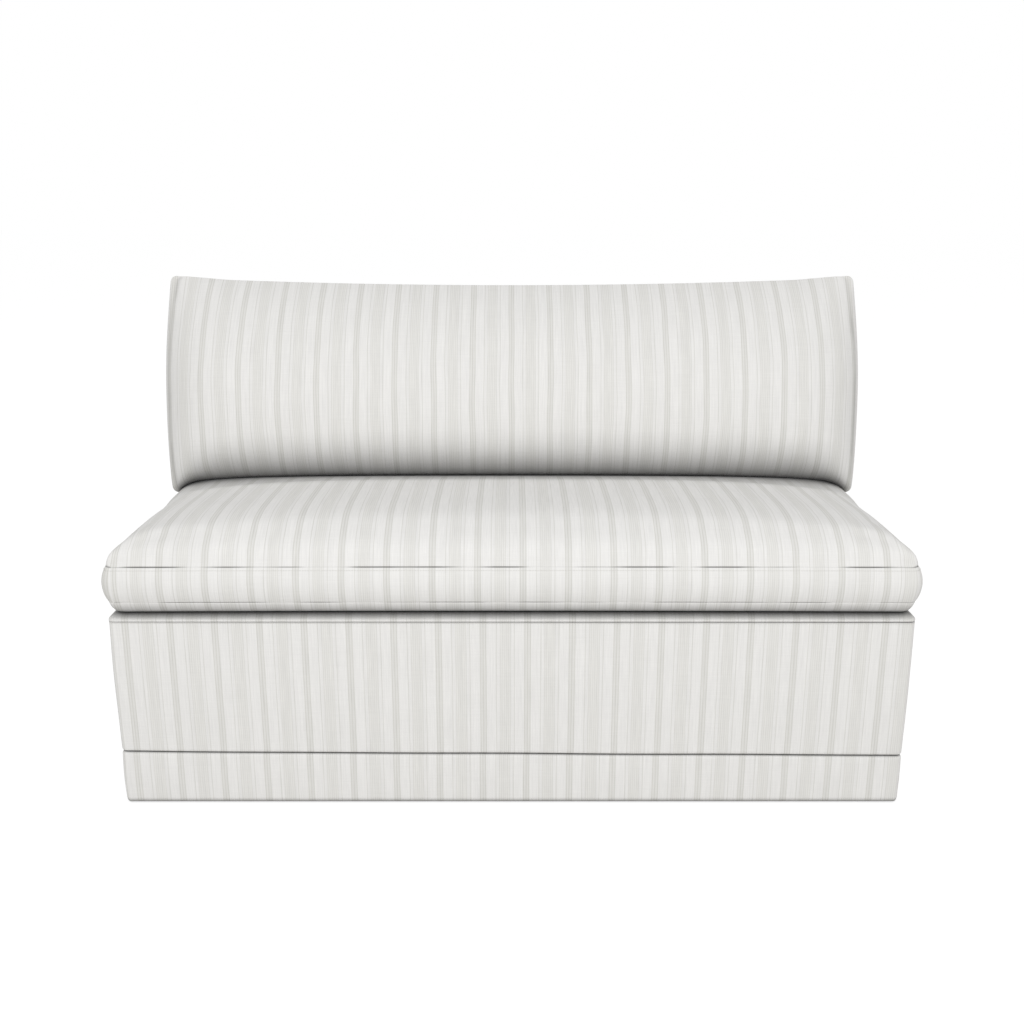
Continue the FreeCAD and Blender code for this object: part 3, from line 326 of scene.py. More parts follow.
def corner_path(half, front, back, radius, step):
    """Plan of a panel wrapped round two corners, left end to right end: points, normals, run from the middle."""
    quarter = np.radians(np.linspace(90, 0, 10))
    side = spaced(abs(back - front) - radius, [0, 0.0015, 0.004, 0.008], 0.008)
    face = np.linspace(0, half - radius, round((half - radius) / step) + 1)
    sign = 1 if back > front else -1
    right = [(x, front, 0, -sign) for x in face]
    for a in quarter[1:]:
        out, ahead = math.cos(a), math.sin(a)
        right.append((half - radius + radius * out, front + sign * radius * (1 - ahead), out, -sign * ahead))
    right += [(half, front + sign * (radius + d), 1, 0) for d in side[1:]]
    right = np.array(right)
    left = right[:0:-1] * [-1, 1, -1, 1]
    path = np.concatenate([left, right])
    steps = np.hypot(*np.diff(path[:, :2], axis=0).T)
    run = np.concatenate([[0], np.cumsum(steps)])
    return path[:, :2], path[:, 2:], run - run[-1] / 2


def wrapped_panel(name, path, normals, run, low, high, low_roll, high_roll, end_roll, depth, phase, material=linen):
    """An upright padded panel along a plan path; each roll is (radius, depth) of that edge."""
    up = spaced(high - low, [0, 0.0007, 0.0016, 0.003, 0.005, 0.008, 0.012, 0.017], 0.012)
    ends = np.minimum(run - run[0], run[-1] - run)
    inset = np.maximum(roll(up, *low_roll), roll(up[::-1], *high_roll))[:, None]
    inset = np.maximum(inset, roll(ends, *end_roll)[None, :])
    level = np.repeat((low + up)[:, None], len(run), 1)
    middle = np.sin(np.pi * up / (high - low))[:, None]
    inset = inset + 0.0012 * (1 - middle) + 0.0007 * middle * waver(run[None, :], level, 0.11)
    for edge in (low, high):
        if edge > PLINTH_FOOT:
            near = np.clip(1 - np.abs(level - edge) / DRIFT_REACH, 0, 1)
            level = level + near * seam_drift(path[:, 0], edge)[None, :]
    skin = np.empty((len(up), len(run), 3))
    skin[..., :2] = path[None] - normals[None] * inset[..., None]
    skin[..., 2] = level
    inside = np.empty_like(skin)
    inside[..., :2] = path[None] - normals[None] * depth
    inside[..., 2] = level
    across = np.repeat(run[None, :] - phase, len(up), 0)
    return padded_panel(name, skin, inside, across, level, material)


BASE_HALF, BASE_FRONT, BASE_REAR = 0.692, -0.33325, 0.34675
CORNER, RETURN, SKIN = 0.011, 0.024, 0.0136
PLINTH_FOOT, PLINTH_TOP, PLINTH_PHASE = 0.0012, 0.099, 0.025
SOFT_SEAM, TIGHT_SEAM, FOOT_ROLL = (0.0050, 0.0055), (0.0013, 0.0009), (0.008, 0.003)
SEAM_GAP, DRIFT_REACH = 0.0002, 0.06
EDGE_STEPS = [0, 0.0007, 0.002, 0.004, 0.008, 0.014]


def seam_drift(x, height):
    """How far the sewn line at the top of the plinth runs off level; the other lines follow it a little."""
    share = 1.0 if abs(height - PLINTH_TOP) < 0.001 else 0.15
    return share * (0.0009 * waver(x, 0.2, 0.17) - 0.0028 - 0.0042 * x / BASE_HALF)


front_plan = corner_path(BASE_HALF, BASE_FRONT, BASE_FRONT + RETURN, CORNER, 0.010)
rear_plan = corner_path(BASE_HALF, BASE_REAR, BASE_REAR - RETURN, CORNER, 0.010)


def side_plan(hand, first, last):
    """Plan of a flat side panel, from its front seam to its rear one; hand is -1 left, 1 right."""
    deep = spaced(last - first, EDGE_STEPS, 0.012)
    path = np.stack([np.full_like(deep, hand * BASE_HALF), first + deep], 1)
    normals = np.stack([np.full_like(deep, hand), np.zeros_like(deep)], 1)
    return path, normals, deep


def upholstered(piece, body):
    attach(piece, body)


left_plan, right_plan = (
    side_plan(hand, BASE_FRONT + RETURN + SEAM_GAP, BASE_REAR - RETURN - SEAM_GAP) for hand in (-1, 1)
)
for word, plan, *inner in (
    ("front", front_plan, "plinth_wadding"), ("rear", rear_plan), ("left", left_plan), ("right", right_plan)
):
    panel = wrapped_panel(
        f"plinth_{word}_panel", *plan, PLINTH_FOOT, PLINTH_TOP - SEAM_GAP,
        FOOT_ROLL, SOFT_SEAM, TIGHT_SEAM, SKIN, PLINTH_PHASE, short_shade_linen,
    )
    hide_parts(f"plinth_{word}_cover", *inner)
    upholstered(panel, "frame")


# ------------------------------------------------------------------ base box covers
# The same linen over wadding on the front rail, carried round both front corners to a
# seam on each side panel. A flat seam joins its top edge to the deck.
BASE_TOP, BASE_PHASE = 0.346, 0.0268
STOP_SHORT = 0.0022
left_plan, right_plan = (
    side_plan(hand, BASE_FRONT + RETURN + SEAM_GAP, BASE_REAR - STOP_SHORT) for hand in (-1, 1)
)
for word, plan, *inner in (("front", front_plan, "base_wadding"), ("left", left_plan), ("right", right_plan)):
    panel = wrapped_panel(
        f"base_{word}_panel", *plan, PLINTH_TOP + SEAM_GAP, BASE_TOP - SEAM_GAP,
        SOFT_SEAM, TIGHT_SEAM, TIGHT_SEAM, SKIN, BASE_PHASE, short_shade_linen,
    )
    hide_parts(f"base_{word}_cover", *inner)
    upholstered(panel, "frame")


# ------------------------------------------------------------------------------ deck
# The platform under the seat cushion: felt over the springs, a layer of foam and a linen
# cover that rolls over a soft edge down to the seam round the base box.
DECK_TOP, DECK_FOOT, DECK_REAR = 0.365, 0.3425, 0.1812
DECK_EDGE = 0.045
DECK_STEPS = [0, 0.0006, 0.002, 0.0045, 0.008, 0.0125, 0.018, 0.024]


def rounded(x, y, half, front, rear, radius):
    """Signed distance of points to a rounded rectangle, negative inside."""
    depth = (rear - front) / 2
    dx = np.abs(x) - half + radius
    dy = np.abs(y - (front + rear) / 2) - depth + radius
    return np.minimum(np.maximum(dx, dy), 0) + np.hypot(np.maximum(dx, 0), np.maximum(dy, 0)) - radius


deck_deep = spaced(DECK_REAR - BASE_FRONT, DECK_STEPS, 0.014)
deck_wide = spaced(2 * BASE_HALF, DECK_STEPS, 0.014) - BASE_HALF
deck_y = np.repeat((BASE_FRONT + deck_deep)[:, None], len(deck_wide), 1)
front_gap = np.clip(CORNER - deck_deep, 0, CORNER)
deck_half = BASE_HALF - (CORNER - np.sqrt(CORNER**2 - front_gap**2))
deck_x = deck_wide[None, :] * (deck_half / BASE_HALF)[:, None]


def deck_surface(x, y):
    """Height of the deck at plan points: flat, with a soft roll down to its seam at the front and sides."""
    inner = np.maximum(-rounded(x, y, BASE_HALF, BASE_FRONT, DECK_REAR + 0.1, CORNER), 0)
    fall = np.clip(1 - inner / DECK_EDGE, 0, 1)
    level = BASE_TOP + SEAM_GAP + (DECK_TOP - BASE_TOP - 2 * SEAM_GAP) * np.sqrt(1 - fall**2)
    return level + 0.0004 * (waver(x, y, 0.12) - 1) * np.clip(inner / 0.05, 0, 1)


deck_z = deck_surface(deck_x, deck_y)
tuck = 0.0006 * (1 - np.clip((deck_z - BASE_TOP - SEAM_GAP) / 0.0035, 0, 1))
deck_skin = np.stack([deck_x * (1 - tuck / BASE_HALF), deck_y + tuck * (deck_y < 0), deck_z], -1)
deck_inside = np.stack([deck_x * 0.978, deck_y + 0.012 * (deck_y < -0.3), np.full_like(deck_x, DECK_FOOT)], -1)
# The deck's cover takes the linen with the deepest painted shade, darkest where the seat cushion overhangs its edge.
deck = padded_panel("deck_pad", deck_skin, deck_inside, deck_x - BASE_PHASE, deck_y + deck_z, deep_shade_linen)
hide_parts("deck_cover", "deck_foam", "deck_felt", "edge_rolls")
upholstered(deck, "frame")


# ------------------------------------------------------------------------- inside back
# Foam over the webbing under a linen panel that runs up the rake, over the top rail and
# down to the seam at the outside back.
LEAN_DEGREES = 12.5
LEAN = math.radians(LEAN_DEGREES)
BACK_FOOT, BACK_TOP, INSIDE_LAYER = 0.18675, 0.820, 0.0098


def rake_at(z, layer=0.0):
    """Y of the inside back at a height, or of a layer behind it."""
    return BACK_FOOT + (z - DECK_TOP) * math.tan(LEAN) + layer / math.cos(LEAN)


back_rise = spaced(BACK_TOP - DECK_FOOT, [0, 0.002, 0.005, 0.010], 0.014)[:-4]
profile = [(rake_at(DECK_FOOT + d), DECK_FOOT + d) for d in back_rise]
edge_radius = 0.020
bend_z = BACK_TOP - edge_radius
bend_y = rake_at(bend_z) + edge_radius * math.cos(LEAN)
profile = [p for p in profile if p[1] < bend_z - 0.004]
profile += [
    (bend_y + edge_radius * math.cos(a), bend_z + edge_radius * math.sin(a))
    for a in np.linspace(math.pi - LEAN, math.pi / 2, 10)
]
profile += [(y, BACK_TOP) for y in np.linspace(bend_y, BASE_REAR - 0.002, 6)[1:]]
profile = np.array(profile)
slope = np.gradient(profile, axis=0)
slope /= np.linalg.norm(slope, axis=1)[:, None]
outward = np.stack([-slope[:, 1], slope[:, 0]], 1)
INSIDE_HALF = BASE_HALF - STOP_SHORT
back_wide = spaced(2 * INSIDE_HALF, EDGE_STEPS, 0.014) - INSIDE_HALF
back_run = np.concatenate([[0], np.cumsum(np.hypot(*np.diff(profile, axis=0).T))])
side_inset = roll(INSIDE_HALF - np.abs(back_wide), 0.007, 0.004)[None, :]
end_inset = roll(back_run[-1] - back_run, 0.007, 0.003)[:, None]
inset = np.maximum(side_inset, end_inset) + 0.0006 * (1 + waver(back_wide[None, :], back_run[:, None], 0.13))
shape = (len(profile), len(back_wide))
inside_skin = np.empty(shape + (3,))
inside_skin[..., 0] = back_wide[None, :]
inside_skin[..., 1:] = profile[:, None, :] - outward[:, None, :] * inset[..., None]
inside_core = np.empty_like(inside_skin)
inside_core[..., 0] = back_wide[None, :]
inside_core[..., 1:] = profile[:, None, :] - outward[:, None, :] * 0.0095
inside_back = padded_panel(
    "inside_back_panel", inside_skin, inside_core,
    np.repeat(back_wide[None, :], shape[0], 0), np.repeat(back_run[:, None], shape[1], 1),
)
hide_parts("back_inside_cover", "back_pad")
upholstered(inside_back, "frame")


# -------------------------------------------------------------------- back side panels
# A raked panel of linen over wadding on each end of the back, seamed to the inside back,
# the outside back and the base side below it.
def side_panel(name, hand):
    up = spaced(BACK_TOP - INSIDE_LAYER - BASE_TOP - 2 * SEAM_GAP, EDGE_STEPS, 0.014)
    wide = spaced(1.0, [0, 0.004, 0.012, 0.025, 0.05, 0.09], 0.08)
    z = np.repeat((BASE_TOP + SEAM_GAP + up)[:, None], len(wide), 1)
    radius = edge_radius - INSIDE_LAYER
    bend = bend_y - np.sqrt(radius**2 - np.clip(z - bend_z, 0, radius) ** 2)
    first = np.where(z < bend_z, rake_at(z, INSIDE_LAYER), np.maximum(rake_at(z, INSIDE_LAYER), bend))
    y = first + wide[None, :] * (BASE_REAR - STOP_SHORT - first)
    gap = np.minimum(y - first, BASE_REAR - STOP_SHORT - y)
    lift = np.minimum(up, up[::-1])[:, None]
    inset = np.maximum(roll(gap, *TIGHT_SEAM), roll(lift, *TIGHT_SEAM))
    inset = inset + 0.0006 * (1 + waver(y, z, 0.12)) * np.clip(np.minimum(gap, lift) / 0.03, 0, 1)
    skin = np.stack([hand * (BASE_HALF - inset), y, z], -1)
    core = np.stack([np.full_like(y, hand * (BASE_HALF - SKIN)), y, z], -1)
    return padded_panel(name, skin, core, y, z)


for word, hand, *inner in (("left", -1, "back_side_wadding"), ("right", 1)):
    panel = side_panel(f"back_{word}_panel", hand)
    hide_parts(f"back_{word}_cover", *inner)
    upholstered(panel, "frame")


# ------------------------------------------------------------------------ outside back
# One linen panel over wadding and hardboard, from the plinth to the top of the back,
# blind-stitched down both sides.
rear_wide = spaced(2 * BASE_HALF, EDGE_STEPS, 0.014) - BASE_HALF
rear_path = np.stack([rear_wide, np.full_like(rear_wide, BASE_REAR)], 1)
rear_normals = np.stack([np.zeros_like(rear_wide), np.ones_like(rear_wide)], 1)
outside_back = wrapped_panel(
    "outside_back_panel", rear_path, rear_normals, rear_wide + 1e-9, PLINTH_TOP + SEAM_GAP, BACK_TOP - STOP_SHORT,
    SOFT_SEAM, (0.008, 0.004), (0.007, 0.006), 0.0065, BASE_PHASE,
)
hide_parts("back_outside_cover", "back_outer_wadding")
upholstered(outside_back, "frame")


# -------------------------------------------------------------------------- dust cover
# A sheet of thin black bonded cloth stapled under the plinth boards, which keeps dust out
# of the springs. It hangs a little slack between its staples.
dust_low, dust_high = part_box("dust_cover")
bonded = patterned(
    "bonded_dust_cloth", "ShaderNodeTexVoronoi", {"Scale": 350.0},
    [(0.0, "#1f1f20"), (1.0, "#353536")], relief=(0.3, 0.0004), Roughness=0.95,
)
sheet_wide = np.linspace(dust_low.x, dust_high.x, 90)
sheet_deep = np.linspace(dust_low.y, dust_high.y, 46)
sheet_x, sheet_y = np.meshgrid(sheet_wide, sheet_deep)
edge_gap = np.minimum.reduce(
    [sheet_x - dust_low.x, dust_high.x - sheet_x, sheet_y - dust_low.y, dust_high.y - sheet_y]
)
slack = 0.00025 * (1 + waver(sheet_x, sheet_y, 0.09)) * np.clip(edge_gap / 0.06, 0, 1)
under = np.stack([sheet_x, sheet_y, dust_low.z + slack], -1)
upper = under + [0, 0, 0.0004]
dust_sheet = padded_panel("dust_sheet", upper, under, sheet_x, sheet_y, bonded)
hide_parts("dust_cover")
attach(dust_sheet, "frame")


def line_tree():
    """Geometry nodes that string short six-sided pieces along a line, each lying in the line's direction."""
    tree = bpy.data.node_groups.new("pieces_along_a_line", "GeometryNodeTree")
    tree.interface.new_socket("Line", in_out="INPUT", socket_type="NodeSocketGeometry")
    for name in ("Pitch", "Length", "Thickness"):
        tree.interface.new_socket(name, in_out="INPUT", socket_type="NodeSocketFloat")
    tree.interface.new_socket("Material", in_out="INPUT", socket_type="NodeSocketMaterial")
    tree.interface.new_socket("Pieces", in_out="OUTPUT", socket_type="NodeSocketGeometry")
    given = add(tree, "NodeGroupInput")
    path = add(tree, "GeometryNodeMeshToCurve", {0: given.outputs["Line"]})
    spacing = {"Curve": path.outputs[0], "Length": given.outputs["Pitch"]}
    points = add(tree, "GeometryNodeResampleCurve", spacing, mode="LENGTH")
    ahead = add(tree, "GeometryNodeInputTangent")
    turn = add(tree, "FunctionNodeAlignRotationToVector", {"Vector": ahead.outputs[0]}, axis="Z")
    radius = add(tree, "ShaderNodeMath", {0: given.outputs["Thickness"], 1: 0.5}, operation="MULTIPLY")
    bar = add(
        tree, "GeometryNodeMeshCylinder",
        {"Vertices": 6, "Radius": radius.outputs[0], "Depth": given.outputs["Length"]},
    )
    row = add(
        tree, "GeometryNodeInstanceOnPoints",
        {"Points": points.outputs[0], "Instance": bar.outputs[0], "Rotation": turn.outputs[0]},
    )
    real = add(tree, "GeometryNodeRealizeInstances", {0: row.outputs[0]})
    done = add(tree, "GeometryNodeSetMaterial", {"Geometry": real.outputs[0], "Material": given.outputs["Material"]})
    add(tree, "NodeGroupOutput", {0: done.outputs[0]})
    return tree


along_a_line = line_tree()


def strung(name, lines, pitch, length, thickness, material, body, slot):
    """A row of stitches, staples or zip coils along each line of points, as one plain mesh on a body."""
    points, edges = [], []
    for line in lines:
        edges += [(len(points) + k, len(points) + k + 1) for k in range(len(line) - 1)]
        points += np.asarray(line).tolist()
    guide = bpy.data.objects.new(name + "_line", bpy.data.meshes.new(name + "_line"))
    guide.data.from_pydata(points, edges, [])
    bpy.context.scene.collection.objects.link(guide)
    nodes_on = guide.modifiers.new("row", "NODES")
    nodes_on.node_group = along_a_line
    inputs = {s.name: s.identifier for s in along_a_line.interface.items_tree if s.in_out == "INPUT"}
    for label, given in (("Pitch", pitch), ("Length", length), ("Thickness", thickness), ("Material", material)):
        nodes_on[inputs[label]] = given
    graph = bpy.context.evaluated_depsgraph_get()
    mesh = bpy.data.meshes.new_from_object(guide.evaluated_get(graph))
    bpy.data.objects.remove(guide)
    mesh.name = name
    row = bpy.data.objects.new(name, mesh)
    bpy.context.scene.collection.objects.link(row)
    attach(row, body)
    return row


STAPLE_IN = 0.008
staple_edge = [
    (dust_low.x + STAPLE_IN, dust_low.y + STAPLE_IN), (dust_high.x - STAPLE_IN, dust_low.y + STAPLE_IN),
    (dust_high.x - STAPLE_IN, dust_high.y - STAPLE_IN), (dust_low.x + STAPLE_IN, dust_high.y - STAPLE_IN),
]
staple_z = dust_low.z - 0.0002
staple_lines = [
    [(*a, staple_z), (*b, staple_z)] for a, b in zip(staple_edge, staple_edge[1:] + staple_edge[:1])
]
staple_wire = drawn_metal("galvanised_wire", "#9a9ca0", "#c2c4c8", 0.4, 800.0)
strung("dust_cover_staples", staple_lines, 0.042, 0.010, 0.0009, staple_wire, "frame", "zinc_steel")


# ------------------------------------------------------------------------- seat cushion
# Loose bench cushion: a foam core in fibre wrap, boxed, with a high soft crown. The boxing
# is sewn between two seams without welts, swells between them and sags over the deck's edge.
SEAT_HALF, SEAT_FRONT, SEAT_REAR = 0.6875, -0.33775, 0.18025
SEAT_LOW_SEAM, SEAT_HIGH_SEAM = 0.3824, 0.4459
SEAT_CORNER, SEAT_PHASE = 0.014, 0.0186
CROWN_RISE, CROWN_FRONT, CROWN_REAR = 0.0698, (0.160, 2.4), (0.300, 2.2)
FRONT_SHOULDER, REAR_SHOULDER = (0.620, 3.3), (0.70, 2.8)
SHOULDER_TURN, TURN_RUN = -0.20, 0.18
# UNDER_SHADE is the strength of the painted shade round the edges of the cushion's underside.
UNDER_RISE, UNDER_ROLL, UNDER_SHADE, REST_GAP = 0.0228, (0.0142, 1.25), 0.52, 0.0006
BOXING_SWELL, DRAW_IN = 0.0082, 0.003
SEAT_STEPS = [0, 0.000005, 0.0003, 0.0015, 0.005, 0.010, 0.017, 0.026, 0.036]
SEAM_STEPS = [0, 0.0012, 0.0028, 0.0055, 0.010, 0.016, 0.024, 0.034]


def dome(distance, run, power=2.0):
    """Rise of a filled cover at a distance from its seam, 0 to 1 over its run; a higher power is fuller."""
    return np.maximum(1 - (1 - np.clip(distance / run, 0, 1)) ** power, 0) ** (1 / power)


seat_deep = spaced(SEAT_REAR - SEAT_FRONT, SEAT_STEPS, 0.012)
seat_wide = spaced(2 * SEAT_HALF, SEAT_STEPS, 0.012) - SEAT_HALF
near_end = np.minimum(seat_deep, seat_deep[::-1])
corner_gap = np.clip(SEAT_CORNER - near_end, 0, SEAT_CORNER)
row_half = SEAT_HALF - (SEAT_CORNER - np.sqrt(SEAT_CORNER**2 - corner_gap**2))
seat_x = seat_wide[None, :] * (row_half / SEAT_HALF)[:, None]
seat_y = np.repeat((SEAT_FRONT + seat_deep)[:, None], len(seat_wide), 1)
from_side = row_half[:, None] - np.abs(seat_x)
rearward = np.clip((seat_y - SHOULDER_TURN) / TURN_RUN, 0, 1)
front_shoulder = dome(from_side, *FRONT_SHOULDER)
rear_shoulder = dome(from_side, *REAR_SHOULDER)
slopes = [
    dome(seat_y - SEAT_FRONT, *CROWN_FRONT),
    front_shoulder + (rear_shoulder - front_shoulder) * rearward**2 * (3 - 2 * rearward),
    dome(SEAT_REAR - seat_y, *CROWN_REAR),
]
crown = (sum(np.maximum(slope, 1e-6) ** -4 for slope in slopes) - 2) ** -0.25
from_edge = np.minimum(np.minimum(from_side, seat_y - SEAT_FRONT), SEAT_REAR - seat_y)
under = dome(from_edge, *UNDER_ROLL)
border = edge_loop(*seat_x.shape)
crown.ravel()[border] = 0
under.ravel()[border] = 0
forward = np.clip((SEAT_REAR - seat_y) / (SEAT_REAR - SEAT_FRONT), 0, 1)
front_bow = DRAW_IN * (1 - (seat_x / SEAT_HALF) ** 2) * forward
side_bow = DRAW_IN * (1 - ((2 * seat_y - SEAT_FRONT - SEAT_REAR) / (SEAT_REAR - SEAT_FRONT)) ** 2)
plan_x = seat_x - np.sign(seat_x) * side_bow * (np.abs(seat_x) / SEAT_HALF) ** 4
plan_y = seat_y + front_bow * (1 - seat_deep / seat_deep[-1])[:, None] ** 4
crown_z = SEAT_HIGH_SEAM + CROWN_RISE * crown
under_z = SEAT_LOW_SEAM - UNDER_RISE * under
under_z = np.where(under > 0, np.maximum(under_z, deck_surface(plan_x, plan_y) + REST_GAP), under_z)
seat_top = np.stack([plan_x, plan_y, crown_z], -1).reshape(-1, 3)
seat_base = np.stack([plan_x, plan_y, under_z], -1).reshape(-1, 3)


def loop_normals(loop):
    """Outward plan normals of a closed loop that runs anticlockwise."""
    ahead = np.roll(loop, -1, 0) - np.roll(loop, 1, 0)
    normal = np.stack([ahead[:, 1], -ahead[:, 0]], 1)
    return normal / np.linalg.norm(normal, axis=1)[:, None]


outline = seat_top[border][:, :2]
outward = loop_normals(outline)
boxing_rows = spaced(SEAT_HIGH_SEAM - SEAT_LOW_SEAM, [0, 0.0008] + SEAM_STEPS[2:6], 0.010)
side_swell = BOXING_SWELL + 0.0016 * np.abs(outward[:, 0]) - 0.0008 * np.clip(outward[:, 1], 0, 1)
boxing = []
for rise in boxing_rows[1:-1]:
    level = 2 * rise / (SEAT_HIGH_SEAM - SEAT_LOW_SEAM) - 1
    bulge = (side_swell * (1 - level**2))[:, None]
    boxing.append(np.column_stack([outline + outward * bulge, np.full(len(outline), SEAT_LOW_SEAM + rise)]))
count = len(seat_top)
seat_points = np.concatenate([seat_top, seat_base] + boxing)
rows, cols = seat_x.shape
faces = grid_faces(rows, cols) + [f[::-1] for f in grid_faces(rows, cols, count)]
loops = [[count + b for b in border]]
loops += [list(range(2 * count + k * len(border), 2 * count + (k + 1) * len(border))) for k in range(len(boxing))]
loops += [list(border)]
flat_cloth = np.column_stack([seat_x.ravel() - SEAT_PHASE, (seat_y + crown_z).ravel()])
base_cloth = np.column_stack([seat_x.ravel() - SEAT_PHASE, seat_y.ravel()])
cloth = [flat_cloth[list(f)] for f in faces[: len(faces) // 2]] + [
    base_cloth[[v - count for v in f]] for f in faces[len(faces) // 2 :]
]
steps = np.hypot(*(np.roll(outline, -1, 0) - outline).T)
lap = np.concatenate([[0], np.cumsum(steps)])
lap -= lap[cols // 2] - outline[cols // 2, 0]
for k in range(len(loops) - 1):
    for n in range(len(border)):
        m = (n + 1) % len(border)
        faces.append((loops[k][n], loops[k][m], loops[k + 1][m], loops[k + 1][n]))
        low, high = boxing_rows[k], boxing_rows[k + 1]
        cloth.append(
            np.array([[lap[n], low], [lap[n + 1], low], [lap[n + 1], high], [lap[n], high]]) - [SEAT_PHASE, 0]
        )
seat = mesh_piece("seat_cushion", seat_points, faces, np.concatenate(cloth), linen)
seat_seams = [list(border), [count + b for b in border]]
# Painted shade on the cushion's underside: a band round its edges, strongest from about 14 to 30 mm in and gone 80 mm
# in, where the under-roll meets the deck.
seat_painted_shade = np.zeros(len(seat_points))
seat_painted_shade[count : 2 * count] = (UNDER_SHADE * under * np.clip(1.6 - from_edge / 0.05, 0, 1)).ravel()
seat_stitched = loops[-4]
seat_held = np.zeros(len(seat_points))
seat_held[count : 2 * count] = 1
seat_held[border] = 1
seat_held[2 * count :] = np.where(seat_points[2 * count :, 1] > 0.15, 1, 0.5)
top_rear = np.clip((plan_y.ravel() + 0.02) / 0.08, 0, 1)
seat_held[:count] = np.maximum(seat_held[:count], 0.9 * top_rear)


# ------------------------------------------------------------------------- back cushion
# Loose fibre-filled cushion that leans on the raked back and stands on the seat cushion:
# full in front, flatter behind, its four corners left standing as ears.
PILLOW_HALF, PILLOW_RISE, PILLOW_DIP = 0.699, 0.4415, 0.0155
PILLOW_ARCH, PILLOW_EAR, PILLOW_CORNER, PILLOW_SWELL = 0.0245, 0.062, 0.012, 0.0095
PILLOW_FRONT, PILLOW_REAR = 0.115, 0.072
TOP_RUN, SIDE_RUN, REAR_RUN = 0.240, 0.150, 0.090
EAR_FLOOR, EAR_LIFT, EAR_START, EAR_RUN = 0.0025, 0.0036, 0.58, 0.08
PILLOW_PHASE, PILLOW_HANG = -0.001, (0, 0.21906, 0.885)

pillow_up = spaced(1.0, np.array(SEAM_STEPS) / PILLOW_RISE, 0.012 / PILLOW_RISE)
pillow_wide = spaced(2 * PILLOW_HALF, SEAM_STEPS, 0.012) - PILLOW_HALF
end_gap = np.minimum(pillow_up, 1 - pillow_up) * PILLOW_RISE
corner_gap = np.clip(PILLOW_CORNER - end_gap, 0, PILLOW_CORNER)
row_half = PILLOW_HALF - (PILLOW_CORNER - np.sqrt(PILLOW_CORNER**2 - corner_gap**2))
row_half = row_half + PILLOW_SWELL * (1 - (2 * pillow_up - 1) ** 2)
px = pillow_wide[None, :] * (row_half / PILLOW_HALF)[:, None]


def low_edge(x, rise, run):
    """Lower edge of the pillow's contour at a share of its depth: an arch between two ears."""
    side = run * (1 - np.sqrt(np.maximum(1 - rise**2, 0)))
    ear = PILLOW_EAR + 1.5 * side
    half = PILLOW_HALF - side
    drop = EAR_FLOOR + (PILLOW_ARCH - EAR_FLOOR) * np.maximum(1 - rise, 0) ** 1.5
    reach = np.clip((np.abs(x) - (half - ear)) / (ear - PILLOW_CORNER), 0, 1)
    return PILLOW_ARCH - PILLOW_RISE + side - drop * reach**2


edge_low = low_edge(px, np.zeros_like(px), SIDE_RUN)
ear_rise = EAR_LIFT * np.clip((np.abs(px) - EAR_START) / EAR_RUN, 0, 1)
edge_high = ear_rise - PILLOW_DIP * np.maximum(1 - (px / PILLOW_HALF) ** 2, 0)
py = edge_low + pillow_up[:, None] * (edge_high - edge_low)


def pillow_depth(run_top, run_side):
    """Share of the full depth at each point, from its nearness to the top, the sides and the foot."""
    top = 1 - (1 - np.clip((edge_high - py) / run_top, 0, 1)) ** 2
    side = np.maximum(dome(row_half[:, None] - np.abs(px), run_side), 1e-6)
    low, high = np.zeros_like(px), np.ones_like(px)
    for _ in range(26):
        rise = (low + high) / 2
        above = low_edge(px, rise, run_side) > py
        high = np.where(above, rise, high)
        low = np.where(above, low, rise)
    foot = np.maximum((low + high) / 2, 1e-6)
    depth = top * (side**-3 + foot**-3 - 1) ** (-1 / 3)
    depth.ravel()[edge_loop(*px.shape)] = 0
    return depth


front_share = pillow_depth(TOP_RUN, SIDE_RUN)
front_depth = PILLOW_FRONT * front_share + 0.0022 * front_share * waver(px, py, 0.085)
rear_depth = PILLOW_REAR * pillow_depth(REAR_RUN, REAR_RUN)
stand = np.array(Matrix.Translation(PILLOW_HANG) @ Matrix.Rotation(math.radians(90 - LEAN_DEGREES), 4, "X"))


def stood(x, y, z):
    """Points of the pillow's own plane set up against the back."""
    flat = np.stack([x.ravel(), y.ravel(), z.ravel(), np.ones(x.size)], 0)
    return (stand @ flat)[:3].T


rows, cols = px.shape
count = rows * cols
border = edge_loop(rows, cols)
rim = np.zeros(count, bool)
rim[border] = True
rear_index = np.where(rim, np.arange(count), 0)
rear_index[~rim] = count + np.arange((~rim).sum())
pillow_points = np.concatenate([stood(px, py, front_depth), stood(px, py, -rear_depth)[~rim]])
front_faces = grid_faces(rows, cols)
rear_faces = [tuple(int(rear_index[v]) for v in f[::-1]) for f in front_faces]
across, up = (px - PILLOW_PHASE + 0.0016 * front_share * waver(py, px, 0.07)).ravel(), py.ravel()
pillow_cloth = [np.stack([across[list(f)], up[list(f)]], 1) for f in front_faces]
pillow_cloth += [np.stack([across[list(f[::-1])], up[list(f[::-1])]], 1) for f in front_faces]
pillow = mesh_piece("back_cushion", pillow_points, front_faces + rear_faces, np.concatenate(pillow_cloth), linen)
SEAM_IN = 5
pillow_seams = [[r * cols + c for r in range(2, rows - 2)] for c in (SEAM_IN, cols - 1 - SEAM_IN)]
pillow_held = np.ones(len(pillow_points))
foot_gap = ((py - edge_low) / 0.10).ravel()
pillow_held[:count] = 1 - np.clip(foot_gap, 0, 1)
pillow_held[pillow_seams[0] + pillow_seams[1]] = 1
pillow_held[border] = 1


# Both cushions are filled by simulation: the covers, held at their seams and where they
# rest, swell under the filling's pressure, and no point moves further than its cap.
def points_of(piece):
    points = np.zeros(len(piece.data.vertices) * 3)
    piece.data.vertices.foreach_get("co", points)
    return points.reshape(-1, 3)


